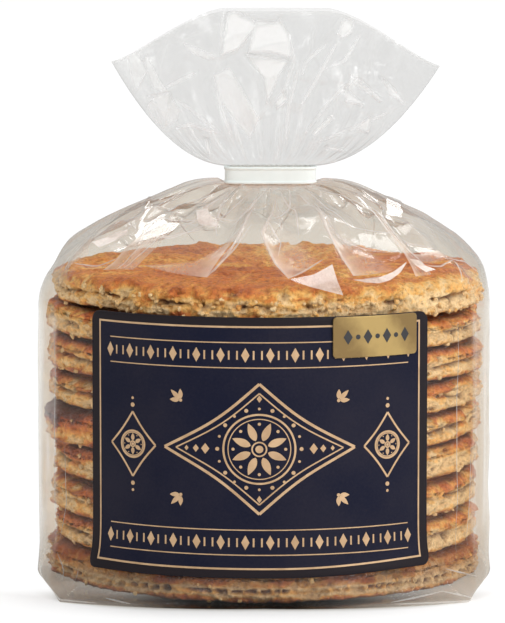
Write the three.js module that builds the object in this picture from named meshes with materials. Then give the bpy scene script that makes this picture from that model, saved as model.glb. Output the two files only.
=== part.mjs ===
// A clear film bag of round syrup waffles.
//
// The waffles lie flat in one stack. The bag stands on its block bottom, fits closely round the stack, and
// narrows over the top waffle to a neck. A flat white clip holds the neck, and the spare film above it opens
// out as a fan. A dark label is glued round the front, with a small gold sticker on its upper right corner.
//
// Units are millimetres. +Z is up, the label faces -Y, and the origin is the middle of the base.

import * as THREE from 'three';

const { degToRad } = THREE.MathUtils;

// ---- Driving dimensions ----

const waffleRadius = 45;
const waffleThickness = 7;
const waffleCount = 9;
const filmUnderStack = 0.5;
const contactGap = 0.3;

// The body: a tall can shape, a little wider at the sides, where the film stands off the waffles.
const bodyHalfWidth = waffleRadius + 2.6;
const bodyHalfDepth = waffleRadius + 1.2;

// The block bottom: four pointed corners of folded film, which die out a little way up the wall.
const cornerReach = 11.6;
const cornerAngle = degToRad(45);
const cornerSpreadFront = degToRad(27);
const cornerSpreadSide = degToRad(14.5);
const cornerHeight = 4;
const baseEdge = 0.7;

// The four upright creases of the folded sides.
const creaseReach = 1.3;
const creaseAngle = degToRad(60);
const creaseSpread = degToRad(4.5);

// The shoulder: it starts beside the top waffle and ends under the clip. It has the profile of a cubic curve,
// whose two handles keep it upright at its start and nearly level at its end.
const stackTop = filmUnderStack + waffleCount * waffleThickness;
const shoulderStart = stackTop - waffleThickness;
const shoulderRise = 13;
const shoulderRun = 21.6;
const shoulderDip = 4;
const shoulderPleats = 1.4;

// Beside the clip the film arches up, past the level of the clip's lower edge.
const shoulderLift = 2;
const shoulderLiftCentre = 15;
const shoulderLiftSpread = 8;

// The clip: a band of plastic with a thin lip along its upper and lower edges.
const clipCentreX = 1.35;
const clipBottom = 82;
const clipTop = 85.6;
const clipHalfWidth = 9.8;
const clipHalfDepth = 3.1;
const clipWall = 0.8;
const clipLipHeight = 0.5;
const clipLipDepth = 0.2;
const clipExponent = 4;

// The neck fills the clip. Under the clip the film stands out a little, as a collar, before it turns in.
const neckHalfWidth = clipHalfWidth - clipWall - contactGap;
const neckHalfDepth = clipHalfDepth - clipWall - contactGap;
const neckClearance = 0.4;
const collarWidth = 1.9;
const collarDepth = 1.1;
const fanStart = clipTop + neckClearance;

// The fan: two sheets of film, closed at the sides and pleated along the mouth.
const fanCentreX = 2.45;
const fanHalfWidth = 34.5;
const fanHalfDepth = 8.5;
const fanExponent = 1.6;
const fanPleats = 1.2;
const mouthTop = 118.5;
const mouthCorner = 106.7;
const mouthLevelShare = 0.33;
const mouthSlopeBow = 1.2;
const mouthValley = 5;

// The label and the sticker.
const labelWidth = 73.2;
const labelBottom = 5.8;
const labelTop = 59;
const labelCentre = -1.3;
const labelThickness = 0.3;
const labelCornerRadius = 2.2;
const stickerLeft = 13.3;
const stickerRight = 31.8;
const stickerBottom = 50.6;
const stickerTop = 58.9;
const stickerThickness = 0.3;
const stickerCornerRadius = 0.8;

// How finely the curved surfaces are divided.
const bagColumns = 96;
const clipColumns = 56;

// ---- Shared shapes ----

const turn = 2 * Math.PI;

function mix(from, to, share) {
  return from + (to - from) * share;
}

function bump(distance, spread) {
  return Math.exp(-((distance / spread) ** 2));
}

// A point of a rounded outline round the Z axis. The azimuth is counted from the front towards +X.
// An exponent of 2 gives an ellipse, more gives squarer corners, and less gives pointed sides.
function outlinePoint(azimuth, halfWidth, halfDepth, exponent) {
  const across = Math.sin(azimuth);
  const forward = Math.cos(azimuth);
  const reach = (Math.abs(across) ** exponent + Math.abs(forward) ** exponent) ** (-1 / exponent);
  return new THREE.Vector3(halfWidth * across * reach, -halfDepth * forward * reach, 0);
}

// The angle from the middle of the front or the back, whichever is nearer.
function fromPanelMiddle(azimuth) {
  return Math.acos(Math.abs(Math.cos(azimuth)));
}

// How far the film stands out along an upright crease.
function creaseLift(azimuth) {
  return creaseReach * bump(fromPanelMiddle(azimuth) - creaseAngle, creaseSpread);
}

// How far the film stands out towards a corner of the base.
function cornerLift(azimuth) {
  const past = fromPanelMiddle(azimuth) - cornerAngle;
  const spread = past < 0 ? cornerSpreadFront : cornerSpreadSide;
  return cornerReach * Math.exp(-((Math.abs(past) / spread) ** 1.1));
}

// A point of the upright wall of the bag, pushed outwards by `lift`.
function wallPoint(azimuth, z, lift = 0) {
  const baseShare = Math.exp(-((z / cornerHeight) ** 1.3));
  const point = outlinePoint(azimuth, bodyHalfWidth, bodyHalfDepth, 2);
  const relief = mix(creaseLift(azimuth), cornerLift(azimuth), baseShare);
  point.setLength(point.length() + relief + lift);
  return point.setZ(z);
}

function meshGeometry(positions, triangles) {
  const geometry = new THREE.BufferGeometry();
  const coordinates = positions.flatMap((position) => position.toArray());
  geometry.setAttribute('position', new THREE.Float32BufferAttribute(coordinates, 3));
  geometry.setIndex(triangles.flat());
  geometry.computeVertexNormals();
  return geometry;
}

// ---- The bag ----

function wallRings() {
  const heights = [0, baseEdge, 1.6, 3, 4.6, 6.6, 9.5, 14, 21, 30, 40, 49];
  return heights.map((z) => (azimuth) => wallPoint(azimuth, z, z === 0 ? -baseEdge : 0));
}

// Radial folds, deepest half way up the shoulder.
function shoulderWave(azimuth) {
  return Math.sin(14 * azimuth + 0.7) + 0.5 * Math.sin(9 * azimuth + 2.1);
}

function shoulderRings() {
  const steps = 14;
  const shoulderEndWidth = neckHalfWidth + collarWidth + 0.6;
  const shoulderEnd = clipBottom - neckClearance - 0.1;
  const profile = new THREE.CubicBezierCurve(
    new THREE.Vector2(bodyHalfWidth, shoulderStart),
    new THREE.Vector2(bodyHalfWidth, shoulderStart + shoulderRise),
    new THREE.Vector2(shoulderEndWidth + shoulderRun, shoulderEnd - shoulderDip),
    new THREE.Vector2(shoulderEndWidth, shoulderEnd),
  );
  return Array.from({ length: steps + 1 }, (_, step) => {
    const share = step / steps;
    const { x: halfWidth, y: height } = profile.getPoint(share);
    const closing = (bodyHalfWidth - halfWidth) / (bodyHalfWidth - neckHalfWidth);
    const halfDepth = mix(bodyHalfDepth, neckHalfDepth, closing);
    const creaseShare = (1 - share) ** 2;
    const pleatDepth = shoulderPleats * Math.sin(Math.PI * share) ** 2;
    return (azimuth) => {
      const point = outlinePoint(azimuth, halfWidth, halfDepth, 2);
      const relief = creaseLift(azimuth) * creaseShare + pleatDepth * shoulderWave(azimuth);
      point.setLength(point.length() + relief);
      point.x += clipCentreX * Math.sqrt(closing);
      const lift = shoulderLift * bump(halfWidth - shoulderLiftCentre, shoulderLiftSpread);
      return point.setZ(height + lift * Math.sin(azimuth) ** 4);
    };
  });
}

function neckRings() {
  const levels = [
    { collar: 1, z: clipBottom - neckClearance - 0.2 },
    { collar: 0, z: clipBottom - neckClearance },
    { collar: 0, z: fanStart },
  ];
  return levels.map(({ collar, z }) => (azimuth) => {
    const halfWidth = neckHalfWidth + collarWidth * collar;
    const halfDepth = neckHalfDepth + collarDepth * collar;
    const point = outlinePoint(azimuth, halfWidth, halfDepth, clipExponent);
    point.x += clipCentreX;
    return point.setZ(z);
  });
}

// The mouth's edge: level in the middle, then down in a slightly bowed line to each corner.
function mouthHeight(side) {
  const down = Math.max(0, (side - mouthLevelShare) / (1 - mouthLevelShare));
  return mix(mouthTop, mouthCorner, down ** mouthSlopeBow);
}

function fanWave(azimuth) {
  return Math.sin(13 * azimuth + 1.1) + 0.6 * Math.sin(7 * azimuth + 0.3);
}

// The film spreads fast just above the clip and then more slowly, as the square root of the way up.
function fanRings() {
  const shares = [0.02, 0.06, 0.12, 0.2, 0.3, 0.42, 0.55, 0.7, 0.85, 1];
  return shares.map((share) => (azimuth) => {
    const spread = Math.sqrt(share);
    const side = Math.abs(Math.sin(azimuth));
    const point = outlinePoint(
      azimuth,
      mix(neckHalfWidth, fanHalfWidth, spread),
      mix(neckHalfDepth, fanHalfDepth, spread),
      mix(clipExponent, fanExponent, spread),
    );
    point.x += mix(clipCentreX, fanCentreX, spread);
    point.y += fanPleats * fanWave(azimuth) * share * (1 - side ** 6);
    return point.setZ(mix(fanStart, mouthHeight(side), share));
  });
}

function bagGeometry() {
  const rings = [...wallRings(), ...shoulderRings(), ...neckRings(), ...fanRings()];
  const azimuths = Array.from({ length: bagColumns }, (_, column) => (column / bagColumns) * turn);
  const positions = rings.flatMap((ring) => azimuths.map(ring));
  const triangles = [];
  const vertex = (level, column) => level * bagColumns + (column % bagColumns);

  for (let level = 0; level < rings.length - 1; level += 1) {
    for (let column = 0; column < bagColumns; column += 1) {
      const [a, b] = [vertex(level, column), vertex(level, column + 1)];
      const [c, d] = [vertex(level + 1, column + 1), vertex(level + 1, column)];
      triangles.push([a, b, c], [a, c, d]);
    }
  }

  // The flat base.
  const baseCentre = positions.push(new THREE.Vector3(0, 0, 0)) - 1;
  for (let column = 0; column < bagColumns; column += 1) {
    triangles.push([baseCentre, vertex(0, column + 1), vertex(0, column)]);
  }

  // The mouth: a shallow valley between the front sheet and the back sheet.
  const top = rings.length - 1;
  const quarter = bagColumns / 4;
  const half = bagColumns / 2;
  const front = (step) => vertex(top, quarter - step + bagColumns);
  const back = (step) => vertex(top, quarter + step);
  const valley = [front(0)];
  for (let step = 1; step < half; step += 1) {
    const middle = positions[front(step)].clone().lerp(positions[back(step)], 0.5);
    middle.z -= mouthValley * Math.sin((step / half) * Math.PI);
    valley.push(positions.push(middle) - 1);
  }
  valley.push(front(half));
  for (let step = 0; step < half; step += 1) {
    const [near, far] = [valley[step], valley[step + 1]];
    triangles.push([front(step), near, front(step + 1)], [near, far, front(step + 1)]);
    triangles.push([back(step), back(step + 1), near], [near, back(step + 1), far]);
  }
  const closed = triangles.filter(([a, b, c]) => a !== b && b !== c && c !== a);
  return meshGeometry(positions, closed);
}

// ---- The clip ----

// The wall of the band in section, as distances out from its inner face: up the outside, then down inside.
function clipSection() {
  const lip = clipWall;
  const face = clipWall - clipLipDepth;
  return [
    { out: lip, z: clipBottom },
    { out: lip, z: clipBottom + clipLipHeight },
    { out: face, z: clipBottom + clipLipHeight + clipLipDepth },
    { out: face, z: clipTop - clipLipHeight - clipLipDepth },
    { out: lip, z: clipTop - clipLipHeight },
    { out: lip, z: clipTop },
    { out: 0, z: clipTop },
    { out: 0, z: clipBottom },
  ];
}

function clipGeometry() {
  const section = clipSection();
  const innerHalfWidth = clipHalfWidth - clipWall;
  const innerHalfDepth = clipHalfDepth - clipWall;
  const positions = [];
  const triangles = [];
  for (let column = 0; column < clipColumns; column += 1) {
    const azimuth = (column / clipColumns) * turn;
    for (const { out, z } of section) {
      const point = outlinePoint(azimuth, innerHalfWidth + out, innerHalfDepth + out, clipExponent);
      positions.push(point.setZ(z));
    }
  }
  const vertex = (column, step) => (column % clipColumns) * section.length + (step % section.length);
  for (let column = 0; column < clipColumns; column += 1) {
    for (let step = 0; step < section.length; step += 1) {
      const [a, b] = [vertex(column, step), vertex(column + 1, step)];
      const [c, d] = [vertex(column + 1, step + 1), vertex(column, step + 1)];
      triangles.push([a, b, c], [a, c, d]);
    }
  }
  return meshGeometry(positions, triangles);
}

// ---- The label and the sticker ----

// How far a rounded corner takes off the height of a plate, at a distance `along` from its middle.
function cornerCut(along, halfWidth, radius) {
  const into = Math.abs(along) - (halfWidth - radius);
  return into <= 0 ? 0 : radius - Math.sqrt(Math.max(0, radius ** 2 - into ** 2));
}

// A thin plate that follows the wall of the bag. `left` and `right` are lengths along the wall from the front.
function wrappedPlate({ left, right, bottom, top, cornerRadius, lift, thickness, columns, rows }) {
  const halfWidth = (right - left) / 2;
  const middle = (right + left) / 2;
  const cornerSteps = 4;
  const inset = halfWidth - cornerRadius;
  const corner = Array.from({ length: cornerSteps }, (_, step) => (
    inset + cornerRadius * Math.sin(((step + 1) / cornerSteps) * (Math.PI / 2))
  ));
  const flat = Array.from({ length: columns + 1 }, (_, step) => mix(-inset, inset, step / columns));
  const stations = [...corner.map((along) => -along).reverse(), ...flat, ...corner];

  const positions = [];
  for (const side of [lift, lift + thickness]) {
    for (const along of stations) {
      const cut = cornerCut(along, halfWidth, cornerRadius);
      const azimuth = (middle + along) / (bodyHalfDepth + lift);
      for (let row = 0; row <= rows; row += 1) {
        positions.push(wallPoint(azimuth, mix(bottom + cut, top - cut, row / rows), side));
      }
    }
  }
  const perSide = stations.length * (rows + 1);
  const inner = (station, row) => station * (rows + 1) + row;
  const outer = (station, row) => perSide + inner(station, row);
  const last = stations.length - 1;
  const triangles = [];
  const quad = (a, b, c, d) => triangles.push([a, b, c], [a, c, d]);
  for (let station = 0; station < last; station += 1) {
    for (let row = 0; row < rows; row += 1) {
      const next = station + 1;
      quad(outer(station, row), outer(next, row), outer(next, row + 1), outer(station, row + 1));
      quad(inner(station, row), inner(station, row + 1), inner(next, row + 1), inner(next, row));
    }
    quad(inner(station, 0), inner(station + 1, 0), outer(station + 1, 0), outer(station, 0));
    quad(outer(station, rows), outer(station + 1, rows), inner(station + 1, rows), inner(station, rows));
  }
  for (let row = 0; row < rows; row += 1) {
    quad(inner(0, row), outer(0, row), outer(0, row + 1), inner(0, row + 1));
    quad(outer(last, row), inner(last, row), inner(last, row + 1), outer(last, row + 1));
  }
  return meshGeometry(positions, triangles);
}

function labelGeometry() {
  return wrappedPlate({
    left: labelCentre - labelWidth / 2,
    right: labelCentre + labelWidth / 2,
    bottom: labelBottom,
    top: labelTop,
    cornerRadius: labelCornerRadius,
    lift: contactGap,
    thickness: labelThickness,
    columns: 24,
    rows: 14,
  });
}

function stickerGeometry() {
  return wrappedPlate({
    left: stickerLeft,
    right: stickerRight,
    bottom: stickerBottom,
    top: stickerTop,
    cornerRadius: stickerCornerRadius,
    lift: contactGap + labelThickness + contactGap,
    thickness: stickerThickness,
    columns: 10,
    rows: 4,
  });
}

// ---- Materials and assembly ----

const finishes = {
  film: new THREE.MeshStandardMaterial({ color: 0xc79a68, roughness: 0.25, metalness: 0 }),
  clip: new THREE.MeshStandardMaterial({ color: 0xeeeeec, roughness: 0.4, metalness: 0 }),
  label: new THREE.MeshStandardMaterial({ color: 0x1b2236, roughness: 0.45, metalness: 0 }),
  sticker: new THREE.MeshStandardMaterial({ color: 0xc6a566, roughness: 0.4, metalness: 0.2 }),
};

function part(name, geometry, finish) {
  const mesh = new THREE.Mesh(geometry, finish);
  mesh.name = name;
  return mesh;
}

const group = new THREE.Group();
group.add(part('bag', bagGeometry(), finishes.film));

const clip = part('neck_clip', clipGeometry(), finishes.clip);
clip.position.x = clipCentreX;
group.add(clip);

group.add(part('label', labelGeometry(), finishes.label));
group.add(part('sticker', stickerGeometry(), finishes.sticker));

export default group;
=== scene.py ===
# %% [markdown]
# # A clear film bag of round syrup waffles
#
# The pack is a stack of nine thin waffles in a bag of clear, stiff, crackly film. The film stands on a
# folded block bottom, runs straight up round the stack, closes over the top waffle in a crumpled shoulder,
# and is gathered in a flat plastic clip. The spare film above the clip opens out as a fan. A dark paper
# label with gold print goes round the front, and a small gold sticker sits on its corner.
#
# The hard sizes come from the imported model. It loads first and is never changed: every piece made here is
# in the same frame, in metres, and rides on the model's one body.

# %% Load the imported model
import math
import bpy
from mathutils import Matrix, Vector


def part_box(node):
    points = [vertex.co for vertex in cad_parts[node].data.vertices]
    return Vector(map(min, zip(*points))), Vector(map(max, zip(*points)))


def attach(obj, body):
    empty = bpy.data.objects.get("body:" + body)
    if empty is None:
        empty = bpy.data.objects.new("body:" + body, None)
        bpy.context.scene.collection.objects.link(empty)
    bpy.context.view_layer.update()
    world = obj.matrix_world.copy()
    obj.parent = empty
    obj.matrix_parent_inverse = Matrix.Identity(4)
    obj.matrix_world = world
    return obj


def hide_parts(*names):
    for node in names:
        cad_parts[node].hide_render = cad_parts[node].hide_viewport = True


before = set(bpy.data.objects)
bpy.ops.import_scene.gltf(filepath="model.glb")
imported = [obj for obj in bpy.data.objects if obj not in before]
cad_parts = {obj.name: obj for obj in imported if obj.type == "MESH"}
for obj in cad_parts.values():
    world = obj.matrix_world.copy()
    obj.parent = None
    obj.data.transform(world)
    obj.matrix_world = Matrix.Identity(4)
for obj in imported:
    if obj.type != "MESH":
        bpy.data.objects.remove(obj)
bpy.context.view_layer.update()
from types import SimpleNamespace

import bmesh
import bpy
import numpy as np
from mathutils import Vector

print("packed pieces:", sorted(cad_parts))

# %% [markdown]
# ## The camera
#
# A pack shot is taken from a few steps away with a long lens, so the upright film edges stay parallel and
# the top waffle shows as a thin ellipse. The camera stands a little higher than the bag and looks down by
# under seven degrees. It is made first, so that each piece can be judged as soon as it exists.

# %% Camera
looks_down = 6.68
camera_data = bpy.data.cameras.new("camera")
camera_data.lens = 238.66
camera_data.sensor_width = 36
camera_data.clip_end = 20
camera = bpy.data.objects.new("camera", camera_data)
camera.location = (-0.00241, -0.8668, 0.1563)
camera.rotation_euler = (math.radians(90 - looks_down), 0, 0)
bpy.context.scene.collection.objects.link(camera)
bpy.context.scene.camera = camera
print("camera distance in mm:", round(camera.location.length * 1000))

# %% [markdown]
# ## Sizes of the pack
#
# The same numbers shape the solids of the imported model. They are given here in millimetres, because a
# maker thinks of a waffle as ninety across, not as 0.09. Each piece is turned into metres once, when its
# mesh is made.

# %% Sizes in millimetres
MM = 0.001
waffle_radius, waffle_thickness = 45.0, 6.3
body_half_width, body_half_depth = 47.6, 46.2
neck_half_width, neck_half_depth = 8.7, 2.0
shoulder_foot, shoulder_top = 56.5, 81.5
clip_centre = 1.35
fan_start, fan_top = 85.7, 118.5
label_left, label_right = -37.9, 35.3
label_bottom, label_top = 5.8, 59.0
sticker_left, sticker_right = 13.3, 31.8
sticker_bottom, sticker_top = 50.6, 58.9
for part in ("bag", "label", "sticker", "neck_clip"):
    low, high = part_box(part)
    print(part, [round(v * 1000, 1) for v in (*low, *high)])

# %% [markdown]
# ## Meshes from numpy
#
# Every piece is a grid or a strip of faces worked out with numpy and handed to Blender in one go, which is
# much faster than adding points one by one. A piece may also carry a number for each point, such as how
# far it is baked. Its material reads that number under the same name, so one material can change along a
# piece without any picture.

# %% Pieces and grids
def add_piece(name, points, faces, material, values=None):
    """A mesh of faces with equal corner counts, in millimetres, that rides on the body of the pack."""
    points = np.asarray(points, float).reshape(-1, 3)
    faces = np.asarray(faces, int)
    mesh = bpy.data.meshes.new(name)
    mesh.vertices.add(len(points))
    mesh.vertices.foreach_set("co", (points * MM).ravel())
    mesh.loops.add(faces.size)
    mesh.loops.foreach_set("vertex_index", faces.ravel())
    mesh.polygons.add(len(faces))
    mesh.polygons.foreach_set("loop_start", np.arange(0, faces.size, faces.shape[1]))
    mesh.polygons.foreach_set("use_smooth", np.ones(len(faces), bool))
    mesh.update(calc_edges=True)
    for key, value in (values or {}).items():
        attribute = mesh.attributes.new(key, "FLOAT", "POINT")
        attribute.data.foreach_set("value", np.asarray(value, float).ravel())
    mesh.materials.append(material)
    piece = bpy.data.objects.new(name, mesh)
    bpy.context.scene.collection.objects.link(piece)
    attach(piece, "root")
    print(f"{name}: {len(points)} points, {len(faces)} faces")
    return piece


def grid_faces(rows, columns, closed=False, start=0):
    """Four-sided faces of a grid of points. A closed grid joins its last column to its first."""
    row = np.arange(rows - 1)[:, None]
    column = np.arange(columns if closed else columns - 1)[None, :]
    right = (column + 1) % columns
    corners = [row * columns + column, row * columns + right,
               (row + 1) * columns + right, (row + 1) * columns + column]
    return np.stack(corners, -1).reshape(-1, 4) + start


print("faces of 3 by 4 points, open and closed:", len(grid_faces(3, 4)), len(grid_faces(3, 4, True)))

# %% [markdown]
# ## Random hills
#
# The uneven look of baked and crumpled things comes from *lattice noise*: random heights on a square
# lattice, joined smoothly. Each height comes from a hash of its place in the lattice, so a rerun gives the
# same crumbs. Used round a rim, the lattice has to close on itself, or a seam would show.

# %% Noise and soft steps
def hills(u, v, seed, around=None):
    """Smooth random heights from -1 to 1, one hill to a unit. `around` units in u close into a ring."""
    iu, iv = np.floor(u).astype(np.int64), np.floor(v).astype(np.int64)
    fu, fv = u - iu, v - iv
    fu, fv = fu * fu * (3 - 2 * fu), fv * fv * (3 - 2 * fv)

    def height(a, b):
        if around:
            a = a % around
        n = (a * 374761393 + b * 668265263 + seed * 974634777) & 0xFFFFFFFF
        n = ((n ^ (n >> 13)) * 1274126177) & 0xFFFFFFFF
        return ((n ^ (n >> 16)) & 0xFFFF) / 32767.5 - 1

    low = height(iu, iv) * (1 - fu) + height(iu + 1, iv) * fu
    high = height(iu, iv + 1) * (1 - fu) + height(iu + 1, iv + 1) * fu
    return low * (1 - fv) + high * fv


def smoothstep(value, low, high):
    """0 below `low`, 1 above `high`, and a soft rise between them."""
    share = np.clip((value - low) / (high - low), 0, 1)
    return share * share * (3 - 2 * share)


sample = hills(np.linspace(0, 90, 901), np.zeros(901), 1)
print("hills run from", sample.min().round(2), "to", sample.max().round(2))

# %% [markdown]
# ## Small helpers for materials
#
# A material is a tree of nodes. Written out one by one, a tree hides its idea under links. With a few
# helpers a line of code reads like a line of a recipe: take noise of this size, turn it into colours, mix
# it with another. No helper paints a picture: all patterns are worked out in the space of the object.

# %% Colours and nodes
def paint(red, green, blue):
    """A colour as a screen shows it, 0 to 255, turned into the linear values that Blender works with."""
    shown = [c / 255 for c in (red, green, blue)]
    return tuple(((c + 0.055) / 1.055) ** 2.4 if c > 10 / 255 else c / 12.92 for c in shown) + (1,)


def grey(value):
    return (value, value, value, 1)


def new_material(name):
    material = bpy.data.materials.new(name)
    material.use_nodes = True
    material.node_tree.nodes.clear()
    return material, material.node_tree


def add_node(tree, kind, **settings):
    """A shader node with its inputs or properties set by name."""
    node = tree.nodes.new(kind)
    for key, value in settings.items():
        socket = key.replace("_", " ")
        if socket in node.inputs:
            node.inputs[socket].default_value = value
        else:
            setattr(node, key, value)
    return node


def feed(tree, socket, value):
    """Sets a socket: a number or a colour is written into it, and a node's output is linked to it."""
    if isinstance(value, (int, float, tuple)):
        socket.default_value = value
    else:
        tree.links.new(value, socket)


def finish_material(material, tree, shader):
    feed(tree, add_node(tree, "ShaderNodeOutputMaterial").inputs["Surface"], shader)
    print("material:", material.name, "with", len(tree.nodes), "nodes")
    return material


# %% Noise, ramps and mixes
def own_place(tree):
    """Where a point is on the object itself."""
    return add_node(tree, "ShaderNodeTexCoord").outputs["Object"]


def noise_at(tree, size, detail=3, roughness=0.55):
    """Procedural noise whose lumps are about `size` millimetres across."""
    node = add_node(tree, "ShaderNodeTexNoise", Scale=1 / (size * MM), Detail=detail, Roughness=roughness)
    feed(tree, node.inputs["Vector"], own_place(tree))
    return node.outputs["Fac"]


def value_of(tree, name):
    """The number of that name that the mesh carries for each point, or nothing where it carries none."""
    return add_node(tree, "ShaderNodeAttribute", attribute_name=name).outputs["Fac"]


def ramp(tree, source, stops):
    node = add_node(tree, "ShaderNodeValToRGB")
    elements = node.color_ramp.elements
    while len(elements) < len(stops):
        elements.new(0.5)
    for element, (place, colour) in zip(elements, stops):
        element.position = place
        element.color = colour
    feed(tree, node.inputs["Fac"], source)
    return node.outputs["Color"]


def maths(tree, operation, first, second, clamp=False):
    node = add_node(tree, "ShaderNodeMath", operation=operation, use_clamp=clamp)
    feed(tree, node.inputs[0], first)
    feed(tree, node.inputs[1], second)
    return node.outputs[0]


def swing(tree, noise, reach):
    """Noise brought round zero, and `reach` from its lowest to its highest."""
    return maths(tree, "MULTIPLY", maths(tree, "SUBTRACT", noise, 0.5), reach)


def mix_colours(tree, share, first, second, blend="MIX"):
    node = add_node(tree, "ShaderNodeMix", data_type="RGBA", blend_type=blend)
    for name, value in (("Factor", share), ("A", first), ("B", second)):
        feed(tree, node.inputs[name], value)
    return node.outputs["Result"]


def blend_shaders(tree, share, first, second):
    both = add_node(tree, "ShaderNodeMixShader")
    for socket, value in zip(both.inputs, (share, first, second)):
        feed(tree, socket, value)
    return both.outputs[0]


def bumps(tree, height, strength, distance):
    node = add_node(tree, "ShaderNodeBump", Strength=strength, Distance=distance)
    feed(tree, node.inputs["Height"], height)
    return node.outputs["Normal"]


print("node helpers ready, and a dough brown in linear values:", [round(v, 3) for v in paint(222, 127, 60)])

# %% [markdown]
# ## The baked waffle
#
# A syrup waffle is baked between two hot plates, cut round with a ring, split in two and filled. Its top is
# browned and a little glossy from fat. The cut rim is not browned: it is a pale, open crumb with gaps and
# dark lines of syrup half way up. So one colour can't do. Each point of the mesh carries four numbers:
# `bake`, from crumb to crust, goes through a ramp of dough colours; `syrup` mixes in the brown of syrup;
# `hollow_shade` is painted shade, a dark brown laid into pits, gaps, grain and where neighbours shade the
# rim; `lowest_shade` is painted shade that darkens the foot of the stack. Noise of two sizes breaks up
# every edge.

# %% Dough
dough_colours = [
    (0.00, paint(255, 221, 168)), (0.24, paint(255, 199, 114)), (0.42, paint(239, 159, 80)),
    (0.62, paint(222, 127, 60)), (0.82, paint(184, 90, 36)), (1.00, paint(112, 50, 22))]
speckles = [(0.34, (0.60, 0.48, 0.37, 1)), (0.46, (0.95, 0.93, 0.90, 1)), (0.62, (1.14, 1.13, 1.10, 1))]
crust_gloss = [(0.3, grey(0.75)), (0.8, grey(0.38))]
syrup_brown = paint(92, 48, 24)
# Painted shade: the dark brown laid into pits, gaps and where neighbours shade the rim.
hollow_shade_brown = paint(98, 52, 28)
# Painted shade for the foot of the stack.
lowest_shade_tint = (0.60, 0.51, 0.50, 1)


def waffle_material():
    material, tree = new_material("baked_waffle")
    patches = noise_at(tree, 7, detail=4)
    specks = noise_at(tree, 1.1, detail=4, roughness=0.7)
    bake = maths(tree, "ADD", value_of(tree, "bake"), swing(tree, patches, 0.4))
    bake = maths(tree, "ADD", bake, swing(tree, specks, 0.7))
    dough = mix_colours(tree, value_of(tree, "syrup"), ramp(tree, bake, dough_colours), syrup_brown)
    grain = ramp(tree, noise_at(tree, 0.9, detail=4, roughness=0.7), speckles)
    dough = mix_colours(tree, 0.9, dough, grain, "MULTIPLY")
    # Painted shade: pits, gaps and grain valleys turn dark brown.
    dough = mix_colours(tree, maths(tree, "MULTIPLY", value_of(tree, "hollow_shade"), 0.84), dough, hollow_shade_brown)
    # Painted shade at the foot of the stack.
    dough = mix_colours(tree, value_of(tree, "lowest_shade"), dough, lowest_shade_tint, "MULTIPLY")
    shader = add_node(tree, "ShaderNodeBsdfPrincipled")
    feed(tree, shader.inputs["Base Color"], dough)
    feed(tree, shader.inputs["Roughness"], ramp(tree, bake, crust_gloss))
    feed(tree, shader.inputs["Normal"], bumps(tree, specks, 1.0, 0.0011))
    return finish_material(material, tree, shader.outputs[0])


baked_waffle = waffle_material()

# %% [markdown]
# ## Nine waffles in a stack
#
# No two waffles of a stack lie alike. Each has its own numbers for its seat, its tilt, its width and how
# far it slid when the bag was packed. The seats are written down on the left and on the right, and a
# waffle leans from one to the other.

# %% How each waffle sits
BOTTOM, MIDDLE, TOP = 0, 4, 8
# Heights of the dark lines between the waffles, 40 mm to the left and 36 mm to the right of the middle.
left_seats = [0.6, 8.4, 14.9, 22.1, 29.4, 37.4, 44.2, 51.7, 58.5, 65.2]
right_seats = [0.6, 8.0, 15.6, 23.2, 30.4, 37.2, 43.9, 50.7, 57.1, 64.6]
slides = [(-0.2, 0.0), (0.3, 0.2), (-0.2, -0.3), (0.5, 0.1), (-0.5, 0.0),
          (0.1, 0.3), (0.4, -0.2), (-0.2, 0.1), (0.6, 0.0)]
browning = [0.10, 0.02, 0.05, 0.0, 0.10, 0.03, 0.0, 0.05, 0.0]
radii = [44.7, 44.2, 44.5, 44.0, 45.0, 44.3, 44.1, 44.4, 44.6]
widths = [1.01, 1.005, 1.01, 1.01, 1.01, 1.02, 1.025, 1.025, 0.995]


def seat(number, x):
    """How high the dark line under a waffle lies at a place across the stack."""
    return left_seats[number] + (right_seats[number] - left_seats[number]) * (x + 40) / 76


def own_seed(number):
    return 10 * number + 5


print("height of the stack in mm:", left_seats[-1], "at the left,", right_seats[-1], "at the right")

# %% [markdown]
# ## The section of a waffle
#
# A waffle is a turned shape, so its section is drawn once, from the middle of the underside round the rim
# to the middle of the top, and swept round. A lathe would do the same, but here each row of points can
# also note what it is: rim or not, top or not, and how much it lies in the shade of its neighbours. Only
# the top waffle shows its face, so it alone has many rows there.

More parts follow.
